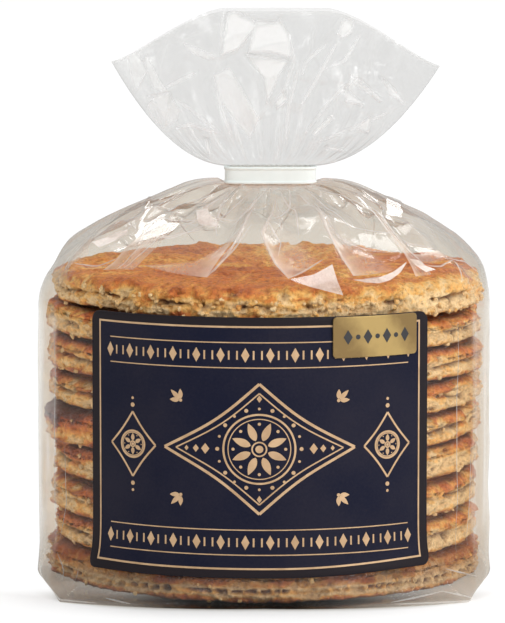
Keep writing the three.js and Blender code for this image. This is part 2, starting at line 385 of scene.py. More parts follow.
# %% Section
def waffle_section(number):
    """Half a waffle's section, row after row."""
    at_top = number == TOP
    in_width, in_height = (0.9, 0.5) if number == BOTTOM else (1.1, 0.8)
    out_width, out_height, bends = (3.4, 2.0, 7) if at_top else (2.6, 1.9, 9)
    top_rows = 92 if at_top else 5
    foot, brow = waffle_radius - in_width, waffle_radius - out_width
    shelf = waffle_thickness - out_height
    underside = [(radius, 0.0) for radius in (6, 20, 34, 41.5)]
    lower = [(foot + in_width * math.sin(a), in_height - in_height * math.cos(a))
             for a in np.linspace(0, math.pi / 2, 5)]
    face = [(waffle_radius, z) for z in np.linspace(in_height + 0.25, shelf - 0.25, 14)]
    upper = [(brow + out_width * math.cos(a), shelf + out_height * math.sin(a))
             for a in np.linspace(0, math.pi / 2, bends)]
    inner = np.linspace(brow - 0.7, 1.2, top_rows)
    section = np.array(underside + lower + face + upper + [(radius, waffle_thickness) for radius in inner])
    rim = np.concatenate([np.zeros(4), np.ones(19 + bends), np.exp(-(inner[0] + 1 - inner) / 1.8)])
    shade = np.concatenate([np.ones(4), np.linspace(0.9, 0.1, 5), np.zeros(14 + bends + top_rows)])
    covered = slice(len(section) - top_rows - bends, None)
    if not at_top:
        section[covered, 1] -= 0.75 * smoothstep(section[covered, 0], 38, 44)
        shade[covered] = smoothstep(np.arange(top_rows + bends), 3.2, 7.0)
    on_top = np.arange(len(section)) >= len(section) - top_rows - (2 if at_top else 0)
    return SimpleNamespace(radius=section[:, :1], height=section[:, 1:], rim=rim[:, None],
                           shade=shade[:, None], on_top=on_top[:, None].astype(float))


for number in (BOTTOM, TOP):
    print("rows of points in waffle", number + 1, "are", len(waffle_section(number).rim))

# %% [markdown]
# ## The crumbly rim
#
# The sweep alone would look machined. Real waffles are cut from a hot sheet: they aren't quite round, they
# dip and swell, and the rim crumbles. Fields of noise from four hills to a hand's width down to single
# crumbs push the rim in and out. They are gathered under plain names, so that the gap, the pits and the
# browning can all follow the same lumps.

# %% Noise of the rim
def rim_fields(number, azimuth, height):
    """The uneven fields of one rim, from slow swells to single crumbs."""
    seed = own_seed(number)
    arc = azimuth / (2 * math.pi)
    down = height + 20 * number

    def noise(size, flat, offset):
        count = round(2 * math.pi * waffle_radius / size)
        return hills(arc * count, down / flat, seed + offset, count)

    def crests(size, flat, offset):
        return 1 - 2 * np.abs(noise(size, flat, offset))

    return SimpleNamespace(
        slow=hills(arc * 9, down * 0, seed, 9),
        lumps=noise(4.6, 2.4, 1),
        crags=crests(2.7, 1.5, 2),
        crumbs=crests(1.35, 0.9, 3),
        specks=noise(0.85, 0.6, 10),
        pores=smoothstep(noise(1.7, 1.0, 4), 0.42, 0.8),
        blotches=noise(3.2, 1.8, 13),
        stretches=noise(7.0, 90, 11),
        drift=noise(11.0, 90, 14),
        closed=noise(8.0, 90, 15),
        wave=hills(arc * 14, 0 * down + number, seed + 6, 14),
        uneven_bake=0.2 * hills(arc * 8, down * 0, seed + 12, 8))


once_round, low_down = np.linspace(0, 2 * math.pi, 720)[None, :], np.full((1, 1), 1.7)
lowest_rim = rim_fields(BOTTOM, once_round, low_down)
print("share of the lowest rim in pores:", (lowest_rim.pores > 0.5).mean().round(2))

# %% [markdown]
# ## Where the two halves part
#
# Half way up a rim runs a gap where the two halves were filled and pressed together. It is broken: in some
# stretches the dough has closed over it. In the lowest waffle, which carries the whole stack, it has
# become a row of small open pits with walls of dough between them.

# %% Gap and pits
def row_of_pits(azimuth, height, rim):
    """The open pits of the lowest rim: 88 places round it, drifting, some of them closed."""
    place = azimuth / (2 * math.pi) * 88 + 0.4 * rim.lumps + 1.4 * rim.drift
    walls = smoothstep(np.abs(np.mod(place, 1) - 0.5), 0.23 + 0.14 * rim.slow, 0.42)
    level = height - 1.7 - 0.34 * rim.lumps - 0.15 * rim.specks - 0.12 * rim.crags
    pits = np.exp(-(level / 0.38) ** 4) * (1 - walls)
    return pits * smoothstep(rim.crags, -1.2, -0.4) * (0.3 + 0.7 * smoothstep(rim.closed, -0.5, 0.0))


def gap_between_halves(number, azimuth, height, rim, in_front):
    if number == BOTTOM:
        return row_of_pits(azimuth, height, rim)
    broken = np.maximum(smoothstep(rim.stretches, -0.3, 0.35), in_front * smoothstep(rim.lumps, -0.2, 0.5))
    level = height - 2.7 - 0.5 * rim.lumps - 0.2 * rim.crags
    return np.exp(-(level / (0.42 + 0.1 * in_front)) ** 2) * broken


def hollow_shading(number, section, rim, gap, in_front):
    """Painted shade on the rim: pits, pores and the gap darkened, and the places that neighbours shade."""
    hollow_shade = smoothstep(0.8 * rim.pores + 0.9 * gap - 0.45 * rim.crags - 0.4 * rim.crumbs - 0.35 * rim.specks,
                        0.3, 1.15)
    if number == TOP:
        hollow_shade = np.maximum(hollow_shade * (0.45 + 0.55 * smoothstep(gap, 0.1, 0.6)), 0.6 * in_front * gap)
        # Painted shade low on the front of the top waffle, where it sits on the one below.
        shaded_low_edge = 1 - smoothstep(section.height - 0.4 * rim.lumps, 1.6, 3.0)
        hollow_shade = np.maximum(hollow_shade, 0.22 * in_front * shaded_low_edge)
    hollow_shade = np.maximum(hollow_shade, section.shade * (0.9 + 0.1 * rim.lumps))
    return np.maximum(0.5 * hollow_shade, 1.15 * gap) if number == BOTTOM else hollow_shade


print("share in open pits:", (row_of_pits(once_round, low_down, lowest_rim) > 0.5).mean().round(2))

# %% [markdown]
# ## The browned face
#
# The hot plates leave a low lattice of ridges on the face, nearly lost among blisters. Baking browns what
# touches the plate: the face, its blisters and the upper edge of the rim. One side of the middle waffle is
# darker, because no oven is even. The right side of each rim is made a little paler.

# %% Face and browning
def plate_pattern(x, y):
    """The low ridges that the squares of the hot plate leave on the waffle, from 0 to 1."""
    pitch, half_ridge = 6.6, 0.62
    u, v = (x * 0.82 + y * 0.57) / pitch, (y * 0.82 - x * 0.57) / pitch
    ridges = [np.exp(-((np.mod(w, 1) - 0.5) * pitch / half_ridge) ** 2) for w in (u, v)]
    return np.maximum(*ridges)


def crust_fields(number, x, y):
    """The uneven fields of a face: swells, blisters, grain, and what is left of the plate's pattern."""
    seed = own_seed(number)
    blister = hills(x / 4.6 + 50, y / 4.6 + 50, seed + 5)
    grain = 1 - 2 * np.abs(hills(x / 2.0 + 90, y / 2.0 + 90, seed + 8))
    return SimpleNamespace(
        blister=blister,
        grain=grain,
        fine=hills(x / 0.95 + 90, y / 0.95 + 90, seed + 9),
        swell=0.5 * hills(x / 17 + 50, y / 17 + 50, seed + 4) + 0.3 * blister,
        pressed=plate_pattern(x, y) * smoothstep(blister + 0.6 * grain, -0.9, 0.5))


def bake_of_rim(number, share, rim):
    """The bake of a rim, which browns from its upper edge down."""
    browned = share + 0.2 * rim.lumps + 0.12 * rim.crags + rim.uneven_bake
    if number == TOP:
        return (-0.08 + 0.22 * smoothstep(browned, 0.40, 0.52) + 0.20 * smoothstep(browned, 0.74, 0.90)
                + 0.17 * smoothstep(browned, 0.92, 1.14))
    return 0.55 * smoothstep(browned, 0.45, 0.86)


def bake_of_lowest(azimuth, height, bake, rim):
    """The lowest rim is evenly dull, with two scorched spots and a paler lip over and under its pits."""
    for spot in (-0.46, 0.43):
        turned = np.mod(azimuth - spot + math.pi, 2 * math.pi) - math.pi
        rising = height - 3.6 - 9 * turned * np.sign(-spot)
        bake = bake + 0.8 * np.exp(-(turned / 0.09) ** 4 - (rising / 0.8) ** 2)
    lip = np.exp(-((np.abs(height - 1.7 - 0.3 * rim.lumps) - 0.62) / 0.28) ** 2)
    return 0.32 + 0.6 * (bake - 0.30) - 0.36 * lip


def waffle_bake(number, azimuth, height, x, y, section, rim, crust):
    """How far each place is baked, from pale crumb to dark crust."""
    on_top, beside = section.on_top, 1 - section.on_top
    share = np.clip(section.height / waffle_thickness, 0, 1)
    bake = bake_of_rim(number, share, rim)
    bake = bake + 0.16 * rim.blotches * beside
    bake += 0.5 * smoothstep(0.14 * rim.lumps - share, -0.17, 0.02)
    bake += (0.10 * rim.crags - 0.1 * rim.crumbs) * beside + 0.08 * rim.slow + browning[number]
    if number == MIDDLE:
        bake += 0.45 * smoothstep(-np.sin(azimuth), 0.6, 0.85) * smoothstep(share, 0.2, 0.5)
    if number == BOTTOM:
        bake = bake_of_lowest(azimuth, height, bake, rim)
    bake -= (0.03 if number == TOP else 0.10) * np.sin(azimuth) * beside
    bake += on_top * (0.10 * crust.blister + 0.085 - 0.05 * crust.pressed - 0.05 * crust.grain)
    right, front = smoothstep(x, 6, 38), smoothstep(-y, 8, 38) * (1 - smoothstep(x, 2, 30))
    bake += on_top * (0.12 * right - 0.08 * front)
    bake -= 0.10 * on_top * section.rim * smoothstep(rim.lumps + rim.crags, -0.4, 0.8)
    return bake


print("ridge height across a square of the plate:", plate_pattern(np.arange(7.0), 0.0).round(2))

# %% [markdown]
# ## Putting a waffle together
#
# The fields now move the points of the swept section: in and out at the rim, up and down on the face. The
# finished waffle is squeezed between its two seats. Each mesh is closed with a fan of triangles in the
# middle of the face and of the underside. The neighbours hide the faces inside the stack, so those waffles
# do with fewer points.

# %% Waffles
def waffle_grid(number, columns):
    """Points of one waffle, ring after ring, and the values that colour it."""
    section = waffle_section(number)
    azimuth = np.linspace(0, 2 * math.pi, columns, endpoint=False)[None, :]
    rim = rim_fields(number, azimuth, section.height)
    in_front = smoothstep(np.cos(azimuth), 0.55, 0.85) if number == TOP else 0.0
    gap = gap_between_halves(number, azimuth, section.height, rim, in_front)
    push = 0.55 * rim.slow + section.rim * (0.65 * rim.lumps + 0.5 * rim.crags + 0.45 * rim.crumbs
                                            + 0.3 * rim.specks - 1.3 * gap - 0.8 * rim.pores - 0.4)
    from_middle = section.radius / waffle_radius
    radius = from_middle * radii[number] + push * from_middle
    x = radius * np.sin(azimuth) * widths[number]
    y = -radius * np.cos(azimuth) * (0.978 if number == TOP else 0.992)
    crust = crust_fields(number, x, y)
    height = section.height + section.on_top * crust.swell
    if number == TOP:
        height = height + section.on_top * (0.24 * crust.grain + 0.13 * crust.fine + 0.26 * crust.pressed)
    height = height + section.rim * (0.35 * rim.wave + 0.2 * rim.crags - 0.15 * rim.pores)
    # Painted shade: on the face the valleys of the grain are darkened, on the rim its pits, gap and the
    # places that neighbours shade.
    hollow_shade = np.where(section.on_top > 0, 0.45 * smoothstep(-crust.grain - 0.4 * crust.fine, 0.35, 1.2),
                      hollow_shading(number, section, rim, gap, in_front))
    values = {"bake": waffle_bake(number, azimuth, height, x, y, section, rim, crust), "hollow_shade": hollow_shade,
              "syrup": gap * section.rim * (0.0 if number == BOTTOM else 0.75)}
    if number == BOTTOM:
        # Painted shade on the lowest waffle: strongest in front, where the label shades it, and weakest on
        # its lit lip.
        lit_lip = np.exp(-((section.height - 1.7) / 1.0) ** 2)
        values["lowest_shade"] = (0.95 - 0.75 * lit_lip) * (0.3 + 0.7 * smoothstep(np.cos(azimuth), -0.3, 0.3))
    x, y = x + slides[number][0], y + slides[number][1]
    low, high = seat(number, x), seat(number + 1, x)
    z = low + 0.1 + height * (high - low - 0.35) / waffle_thickness
    return np.stack([x, y, z], -1), values


def add_waffle(number):
    columns = 720 if number in (BOTTOM, TOP) else 560
    rings, values = waffle_grid(number, columns)
    rows, count = len(rings), rings.shape[0] * rings.shape[1]
    rim_places.append(rings[3:23].reshape(-1, 3))
    middles = [rings[0].mean(0), rings[-1].mean(0)]
    column, over = np.arange(columns), (rows - 1) * columns
    following = np.roll(column, -1)
    quads = grid_faces(rows, columns, closed=True)
    under_middle, top_middle = np.full(columns, count), np.full(columns, count + 1)
    triangles = np.concatenate([quads[:, [0, 1, 2]], quads[:, [0, 2, 3]],
                                np.stack([under_middle, following, column], -1),
                                np.stack([top_middle, over + column, over + following], -1)])
    at_middle = {"bake": 0.7, "syrup": 0, "hollow_shade": 0, "lowest_shade": 0}
    return add_piece(f"waffle_{number + 1}", np.vstack([rings.reshape(-1, 3), middles]), triangles,
                     baked_waffle,
                     values={key: np.append(value, [at_middle[key]] * 2) for key, value in values.items()})


rim_places = []
waffles = [add_waffle(number) for number in range(9)]

# %% [markdown]
# ## Crumbs
#
# A cut rim sheds crumbs, and most of them cling to it. Each is a small ball of eighty triangles with its
# corners pushed about, stretched and turned at random, and half sunk in the rim. None hangs lower than the
# film under the stack. All of them are one mesh, so the scene stays light. The random draw is seeded, so
# the crumbs lie in the same places each time.

# %% Crumbs on the rims
crumbs_on_waffles = [90, 50, 50, 50, 50, 60, 60, 70, 270]


def crumb_ball():
    ball = bmesh.new()
    bmesh.ops.create_icosphere(ball, subdivisions=2, radius=1.0)
    points = np.array([tuple(v.co) for v in ball.verts])
    faces = np.array([[v.index for v in face.verts] for face in ball.faces])
    ball.free()
    return points, faces


def add_crumbs():
    rng = np.random.default_rng(9)
    ball, triangles = crumb_ball()
    points, faces, bake = [], [], []
    for count, places in zip(crumbs_on_waffles, rim_places):
        for place in places[rng.integers(0, len(places), count)]:
            turn = np.linalg.qr(rng.normal(size=(3, 3)))[0]
            if np.linalg.det(turn) < 0:
                turn = -turn
            size = rng.uniform(0.28, 0.62) * rng.uniform(0.7, 1.35, 3)
            rough = ball * (1 + 0.22 * rng.normal(size=(len(ball), 1))) * size
            outwards = place * [1, 1, 0] / np.hypot(place[0], place[1])
            crumb = rough @ turn + place + 0.1 * outwards
            crumb[:, 2] += max(0.0, 0.3 - crumb[:, 2].min())
            points.append(crumb)
            faces.append(triangles + len(ball) * len(faces))
            bake.append(np.full(len(ball), max(0.0, rng.normal(0.04, 0.12))))
    return add_piece("crumbs", np.concatenate(points), np.concatenate(faces), baked_waffle,
                     values={"bake": np.concatenate(bake)})


crumbs = add_crumbs()

# %% [markdown]
# ## Softboxes
#
# Clear film has hardly a colour of its own. What shows is what it mirrors, so the lamps come before the
# film. They stand where a studio has them: two small ones in front, one overhead, two behind, and a broad
# key light at the right. They are area lights, and their strength is given as the brightness of the cloth,
# so a lamp can be made larger without touching its number.

# %% Lamps
aim = (0, 0, 0.06)
# Azimuth from the front towards +X, elevation and distance in metres; width and height; brightness.
softboxes = {
    "front_left": ((-26, 38, 1.1), (0.15, 0.15), 11),
    "front_right": ((36, 34, 1.1), (0.20, 0.20), 11),
    "overhead": ((120, 74, 1.0), (0.30, 0.30), 7),
    "rear_left": ((-150, 46, 1.1), (0.22, 0.20), 8),
    "rear_right": ((150, 40, 1.1), (0.26, 0.20), 8),
    "key": ((46, 20, 1.2), (0.80, 0.50), 3.9),
}


def around(azimuth, elevation, distance):
    """A place round the pack, seen from the point that the lamps aim at."""
    a, e = math.radians(azimuth), math.radians(elevation)
    return (math.sin(a) * math.cos(e) * distance, -math.cos(a) * math.cos(e) * distance,
            math.sin(e) * distance + aim[2])


def add_softbox(name, place, size, brightness):
    centre = around(*place)
    data = bpy.data.lights.new(name, "AREA")
    data.shape = "RECTANGLE"
    data.size, data.size_y = size
    data.energy = brightness * math.pi * size[0] * size[1]
    lamp = bpy.data.objects.new(name, data)
    lamp.location = centre
    lamp.rotation_euler = (Vector(aim) - Vector(centre)).to_track_quat("-Z", "Y").to_euler()
    bpy.context.scene.collection.objects.link(lamp)
    return np.array(centre) / MM


lamps = {name: add_softbox(name, *box) for name, box in softboxes.items()}
small_lamps = [place for name, place in lamps.items() if name != "key"]
print("softboxes:", ", ".join(lamps))

# %% [markdown]
# ## The white room
#
# The room behind the pack is plain white to the camera. To everything else it is softer and a little
# uneven, lighter above and to the right, because film that mirrors a perfectly even room looks dead.

# %% Room
def white_room():
    world = bpy.data.worlds.new("studio")
    bpy.context.scene.world = world
    world.use_nodes = True
    tree = world.node_tree
    tree.nodes.clear()
    direction = add_node(tree, "ShaderNodeTexCoord").outputs["Generated"]
    axes = add_node(tree, "ShaderNodeSeparateXYZ")
    feed(tree, axes.inputs[0], direction)
    walls = add_node(tree, "ShaderNodeTexNoise", Scale=1.4, Detail=1.0)
    feed(tree, walls.inputs["Vector"], direction)
    strength = maths(tree, "ADD", maths(tree, "MULTIPLY", axes.outputs["X"], 0.08), 0.47)
    strength = maths(tree, "ADD", strength, maths(tree, "MULTIPLY", axes.outputs["Z"], 0.10))
    strength = maths(tree, "ADD", strength, maths(tree, "MULTIPLY", walls.outputs["Fac"], 0.36))
    felt = add_node(tree, "ShaderNodeBackground", Color=(1, 1, 0.995, 1))
    feed(tree, felt.inputs["Strength"], maths(tree, "MAXIMUM", strength, 0.05))
    seen = add_node(tree, "ShaderNodeBackground", Color=grey(1), Strength=1.05)
    to_camera = add_node(tree, "ShaderNodeLightPath").outputs["Is Camera Ray"]
    room = blend_shaders(tree, to_camera, felt.outputs[0], seen.outputs[0])
    feed(tree, add_node(tree, "ShaderNodeOutputWorld").inputs["Surface"], room)
    return world


room = white_room()
scene = bpy.context.scene
scene.view_settings.view_transform = "Standard"
scene.cycles.transparent_max_bounces = 48
scene.cycles.max_bounces = 16
print("room:", room.name, "- film layers let through:", scene.cycles.transparent_max_bounces)

# %% [markdown]
# ## What clear film looks like
#
# Film is a hundredth of a millimetre thick, so it is made as a single sheet, not as a slab of glass. Light
# goes straight through it and loses a few parts in a hundred. The rest mirrors, little when seen square on
# and much at a grazing angle. Blender's Fresnel node treats the back of a sheet as the inside of a block,
# so the amount is worked out here from the Facing output, which is the same on both sides.
#
# The same film looks different from place to place, so its mesh carries numbers too. `crease`
# is how milky it is: milky where it was folded hard, partly a painted highlight along ridges and on facets
# that mirror a lamp, and less than nothing where it lies close and clear. `calm` takes away its mirror,
# `beside` gives the warm cast of the standing wall, and `doubled_and_warm_light` that of a second layer,
# partly a painted warm light from the waffles. `painted_shadow` darkens the foot with a painted shadow, and
# `fading` lets a piece end softly in the film that it lies on.

# %% How film tints light
# Tints by angle: 0 is seen square on, 1 at a grazing angle.
wall_tints = [(0.30, (0.96, 0.945, 0.92, 1)), (0.56, (0.90, 0.85, 0.78, 1)), (0.72, (0.86, 0.80, 0.73, 1)),
              (0.82, (0.90, 0.885, 0.85, 1)), (0.92, (0.92, 0.915, 0.89, 1)), (1.0, (0.50, 0.48, 0.45, 1))]
wall_milk = [(0.50, grey(0)), (0.62, grey(0.02)), (0.72, grey(0.07)), (0.82, grey(0.10)), (0.95, grey(0.07))]
# A second layer of film, warmer and darker; partly a painted warm light picked up from the waffles.
second_layer_and_warm_light_tint = (0.84, 0.80, 0.735, 1)
# Painted shadow: the film at the foot of the bag is darkened with it.
painted_shadow_tint = (0.16, 0.12, 0.09, 1)


def film_tint(tree, facing, through):
    """What the film does to the light that goes straight through it."""
    grazed = tuple(0.72 * v for v in through)
    plain = ramp(tree, facing, [(0.45, through + (1,)), (1.0, grazed + (1,))])
    tint = mix_colours(tree, value_of(tree, "beside"), plain, ramp(tree, facing, wall_tints))
    tint = mix_colours(tree, value_of(tree, "doubled_and_warm_light"), tint, second_layer_and_warm_light_tint, "MULTIPLY")
    return mix_colours(tree, value_of(tree, "painted_shadow"), tint, painted_shadow_tint, "MULTIPLY")


def film_mirror(tree, facing, mirrored):
    """How much of the light the film mirrors."""
    mirror = maths(tree, "ADD", maths(tree, "MULTIPLY", maths(tree, "POWER", facing, 4.0), 0.5), mirrored)
    return maths(tree, "MULTIPLY", mirror, maths(tree, "SUBTRACT", 1.0, value_of(tree, "calm")), clamp=True)


def film_milk(tree, facing, haze):
    """How much of the film is milky instead of clear."""
    milk = maths(tree, "ADD", maths(tree, "MULTIPLY", value_of(tree, "crease"), 0.6), haze)
    beside = maths(tree, "MULTIPLY", value_of(tree, "beside"), ramp(tree, facing, wall_milk))
    scuffs = swing(tree, noise_at(tree, 1.3, detail=5, roughness=0.7), 1.2 * haze)
    return maths(tree, "ADD", maths(tree, "ADD", milk, beside), scuffs, clamp=True)


print("angles with a tint of their own:", [place for place, _ in wall_tints])

# %% Film materials
def film_material(name, through, haze, mirrored, roughness=0.1, crackle=0.12, milk=(0.95, 0.95, 0.94)):
    material, tree = new_material(name)
    facing = add_node(tree, "ShaderNodeLayerWeight", Blend=0.5).outputs["Facing"]
    clear = add_node(tree, "ShaderNodeBsdfTransparent")
    feed(tree, clear.inputs["Color"], film_tint(tree, facing, through))
    glossy = add_node(tree, "ShaderNodeBsdfGlossy", Color=grey(1), Roughness=roughness)
    feed(tree, glossy.inputs["Normal"], bumps(tree, noise_at(tree, 2.2), crackle, 0.0003))
    sheet = blend_shaders(tree, film_mirror(tree, facing, mirrored), clear.outputs[0], glossy.outputs[0])
    lit_behind = add_node(tree, "ShaderNodeBsdfTranslucent", Color=milk + (1,))
    lit_in_front = add_node(tree, "ShaderNodeBsdfDiffuse", Color=milk + (1,))
    milky = blend_shaders(tree, 0.5, lit_behind.outputs[0], lit_in_front.outputs[0])
    whole = blend_shaders(tree, film_milk(tree, facing, haze), sheet, milky)
    nothing = add_node(tree, "ShaderNodeBsdfTransparent", Color=grey(1))
    faded = blend_shaders(tree, value_of(tree, "fading"), whole, nothing.outputs[0])
    return finish_material(material, tree, faded)


clear_film = film_material("clear_film", (0.885, 0.878, 0.855), 0.05, 0.04)
fan_film = film_material("fan_film", (0.850, 0.850, 0.846), 0.05, 0.035, 0.16, 0.4)
pleated_film = film_material("pleated_film", (0.99, 0.98, 0.96), 0.27, 0.04, 0.16, milk=(0.97, 0.89, 0.80))
# Milky white ribbons of the hard creases: partly a whitened fold, partly a painted highlight.
creased_film = film_material("creased_film", (0.95, 0.95, 0.94), 0.45, 0.045, 0.2)
# Milky white flaps: a painted highlight on flaps that are also turned to mirror a lamp.
turned_highlight_film = film_material("turned_highlight_film", (0.95, 0.94, 0.92), 0.66, 0.07, 0.2, 0.5, milk=(0.95, 0.93, 0.90))
bottom_film = film_material("bottom_film", (0.76, 0.71, 0.65), 0.06, 0.045)

# %% [markdown]
# ## The smooth shape of the bag
#
# Before any fold is made, the bag is a tube with an oval section that stands on four pointed corners and
# closes along a curve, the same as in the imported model. It is kept as two functions, one for the wall and
# one for the shoulder. Each turns a place on the film into a place in space, so that whatever lies on the
# film later, a pleat, a crease or the label, can ask where the film is.

# %% Wall and shoulder
def from_panel_middle(azimuth):
    return np.arccos(np.abs(np.cos(azimuth)))


def crease_lift(azimuth):
    """The four upright creases of the folded sides."""
    return 1.3 * np.exp(-((from_panel_middle(azimuth) - math.radians(60)) / math.radians(4.5)) ** 2)


def corner_lift(azimuth):
    """The four pointed corners of the block bottom."""
    past = from_panel_middle(azimuth) - math.radians(45)
    spread = np.where(past < 0, math.radians(27), math.radians(14.5))
    return 11.6 * np.exp(-(np.abs(past) / spread) ** 1.1)


def outline(azimuth, half_width, half_depth, exponent=2):
    """An oval seen from above. A higher exponent makes it squarer."""
    across, forward = np.sin(azimuth), np.cos(azimuth)
    reach = (np.abs(across) ** exponent + np.abs(forward) ** exponent) ** (-1 / exponent)
    return half_width * across * reach, -half_depth * forward * reach


def wall(azimuth, z, lift=0):
    azimuth, z = np.broadcast_arrays(azimuth, z)
    x, y = outline(azimuth, body_half_width, body_half_depth)
    at_base = np.exp(-(np.maximum(z, 0) / 4) ** 1.3)
    relief = crease_lift(azimuth) * (1 - at_base) + corner_lift(azimuth) * at_base + lift
    longer = 1 + relief / np.hypot(x, y)
    return np.stack([x * longer, y * longer, z], -1)


shoulder_half_widths = (body_half_width, body_half_width, 32.8, 11.2)
shoulder_heights = (shoulder_foot, 69.5, 77.5, shoulder_top)


def shoulder(azimuth, share, lift=0):
    """A place on the shoulder. `share` runs from 0 at the wall to 1 at the neck, along a curve."""
    azimuth, share = np.broadcast_arrays(azimuth, share)
    rest = 1 - share
    weights = (rest ** 3, 3 * rest ** 2 * share, 3 * rest * share ** 2, share ** 3)
    half_width = sum(w * v for w, v in zip(weights, shoulder_half_widths))
    height = sum(w * v for w, v in zip(weights, shoulder_heights))
    closing = (body_half_width - half_width) / (body_half_width - neck_half_width)
    half_depth = body_half_depth + (neck_half_depth - body_half_depth) * closing
    x, y = outline(azimuth, half_width, half_depth)
    longer = 1 + (crease_lift(azimuth) * rest ** 2 + lift) / np.hypot(x, y)
    x = x * longer + clip_centre * np.sqrt(np.clip(closing, 0, None))
    height = height + 2 * np.exp(-((half_width - 15) / 8) ** 2) * np.sin(azimuth) ** 4
    return np.stack([x, y * longer, height], -1)


def outward(shape, azimuth, place, step=1e-3):
    """The direction square to the smooth bag at a place, from two short steps on it."""
    sideways = shape(azimuth + step, place) - shape(azimuth - step, place)
    upwards = shape(azimuth, place + step) - shape(azimuth, place - step)
    normal = np.cross(sideways, upwards)
    return normal / np.linalg.norm(normal, axis=-1, keepdims=True)


print("middle of the front and a corner:", wall(0.0, 30.0).round(1), wall(0.785, 0.0).round(1))

# %% [markdown]
# ## Folds as lines
#
# A modeller could lay cloth over the stack and let it fall, but film this stiff doesn't drape: it buckles
# into flat facets with sharp edges between them. So the folds are written down as lines. Across each line
# the film rises to a ridge and falls off straight on both sides, like a tent, which leaves flat facets
# between the ridges. The ridge itself is marked milky: partly the whitening of a hard fold, partly a
# painted highlight along it.

# %% Tents over lines
def near_line(u, v, line):
    """How far each place is to the right of a bent line, and how far along the line it is, from 0 to 1."""
    line = np.asarray(line, float)
    lengths = np.hypot(*np.diff(line, axis=0).T)
    total, done = lengths.sum(), 0.0
    best = np.full(u.shape, 1e9)
    offset, along = np.zeros(u.shape), np.zeros(u.shape)
    for (au, av), (bu, bv), length in zip(line[:-1], line[1:], lengths):
        du, dv = (bu - au) / length, (bv - av) / length
        s = np.clip((u - au) * du + (v - av) * dv, 0, length)
        gap = np.hypot(u - au - s * du, v - av - s * dv)
        side = np.sign((u - au) * dv - (v - av) * du)
        nearer = gap < best
        best = np.where(nearer, gap, best)
        offset = np.where(nearer, gap * side, offset)
        along = np.where(nearer, (done + s) / total, along)
        done += length
    return offset, along


def fold(u, v, line, rise, left, right, edge=0.28):
    """A tent over a line, and the mark of its ridge.

    The tent is `rise` high and falls to nothing `left` and `right` of the line. Both fade at its ends.
    """
    offset, along = near_line(u, v, line)
    width = np.where(offset > 0, right, left)
    fade = np.clip(4 * along * (1 - along), 0, 1) ** 0.6
    tent = np.clip(1 - np.abs(offset) / width, 0, 1)
    return rise * tent * fade, np.exp(-(offset / edge) ** 2) * fade


def random_folds(count, box, lean, seed, rise=0.8, widest=7.5):
    """Short crossed folds all over a region, most of them near the direction `lean` in degrees."""
    rng = np.random.default_rng(seed)
    made = []
    for _ in range(count):
        u, v = rng.uniform(box[0], box[1]), rng.uniform(box[2], box[3])
        angle = math.radians(lean + rng.normal(0, 34))
        half = rng.uniform(4, 13)
        du, dv = half * math.cos(angle), half * math.sin(angle)
        left = rng.uniform(2.5, widest)
        height = rise * rng.choice([-1, 1]) * rng.uniform(0.25, 1) * left / 5
        made.append(([(u - du, v - dv), (u + du, v + dv)], height, left, left * rng.uniform(0.5, 1.6)))
    return made


ridge_height, ridge_mark = fold(np.zeros(1), np.zeros(1), [(0, -5), (0, 5)], 1.0, 4, 4)
print("a fold of 1 mm at its ridge:", ridge_height.round(2), "and its mark:", ridge_mark.round(2))

# %% [markdown]
# ## The folds of the shoulder
#
# Places on the shoulder are given as an azimuth in degrees and a share of the way from the wall to the
# neck. The long folds in front are written down one by one. Short ones between them are drawn at random,
# most of them upright, and the back gets some long ones of its own. All together they are laid on a flat
# chart of the shoulder, because distances are only even there.

# %% Creased shoulder
# Places along each fold, then its rise and its widths to both sides in millimetres.
shoulder_folds = [
    ([(-37, 0.66), (-37, 0.45), (-43, 0.28)], 1.3, 3, 7),
    ([(-7.6, 0.75), (-8.8, 0.51), (-15.4, 0.27)], 1.2, 7, 2.5),
    ([(3.5, 0.90), (-1.9, 0.54), (2.2, 0.35), (5.6, 0.26)], 1.3, 3, 6),
    ([(21, 0.80), (19.5, 0.61), (20.5, 0.37), (23, 0.27)], 1.4, 3, 8),
    ([(19.5, 0.61), (33, 0.46), (41, 0.40)], -1.0, 5, 4),
    ([(47, 0.80), (43, 0.56), (43, 0.39), (48, 0.25)], 1.5, 3.5, 6),
    ([(42, 0.54), (60, 0.40), (70, 0.33)], -1.0, 5, 4),
    ([(-66, 0.45), (-62, 0.35), (-61, 0.22)], 1.0, 4, 4),
    ([(-59, 0.28), (-48, 0.33), (-35, 0.33)], -0.8, 4, 3),
    ([(-22, 0.60), (-33, 0.50), (-52, 0.40)], 1.1, 4, 5),
    ([(-60, 0.62), (-40, 0.68), (-12, 0.70)], -0.9, 5, 4),
]
# The chart has 32 mm to a radian round the bag, and 52 mm from the wall to the neck.
AROUND, UP = 32, 52


def all_shoulder_folds():
    folds = [([(math.radians(a) * AROUND, s * UP) for a, s in line], rise, left, right)
             for line, rise, left, right in shoulder_folds]
    for line, rise, left, right in random_folds(110, (-105, 105, 8, 50), 75, 4, 0.75):
        over_label = abs(line[0][0]) < 26 and line[0][1] < 26
        folds.append((line, rise * (0.35 if over_label else 1), left, right))
    for place in range(-5, 6):
        if abs(place) > 1:
            bend = 3 * math.sin(place * 2.3)
            folds.append(([(place * 17, 6), (place * 17 + bend, 28), (place * 17, 50)], 1.2, 5, 3))
    return folds


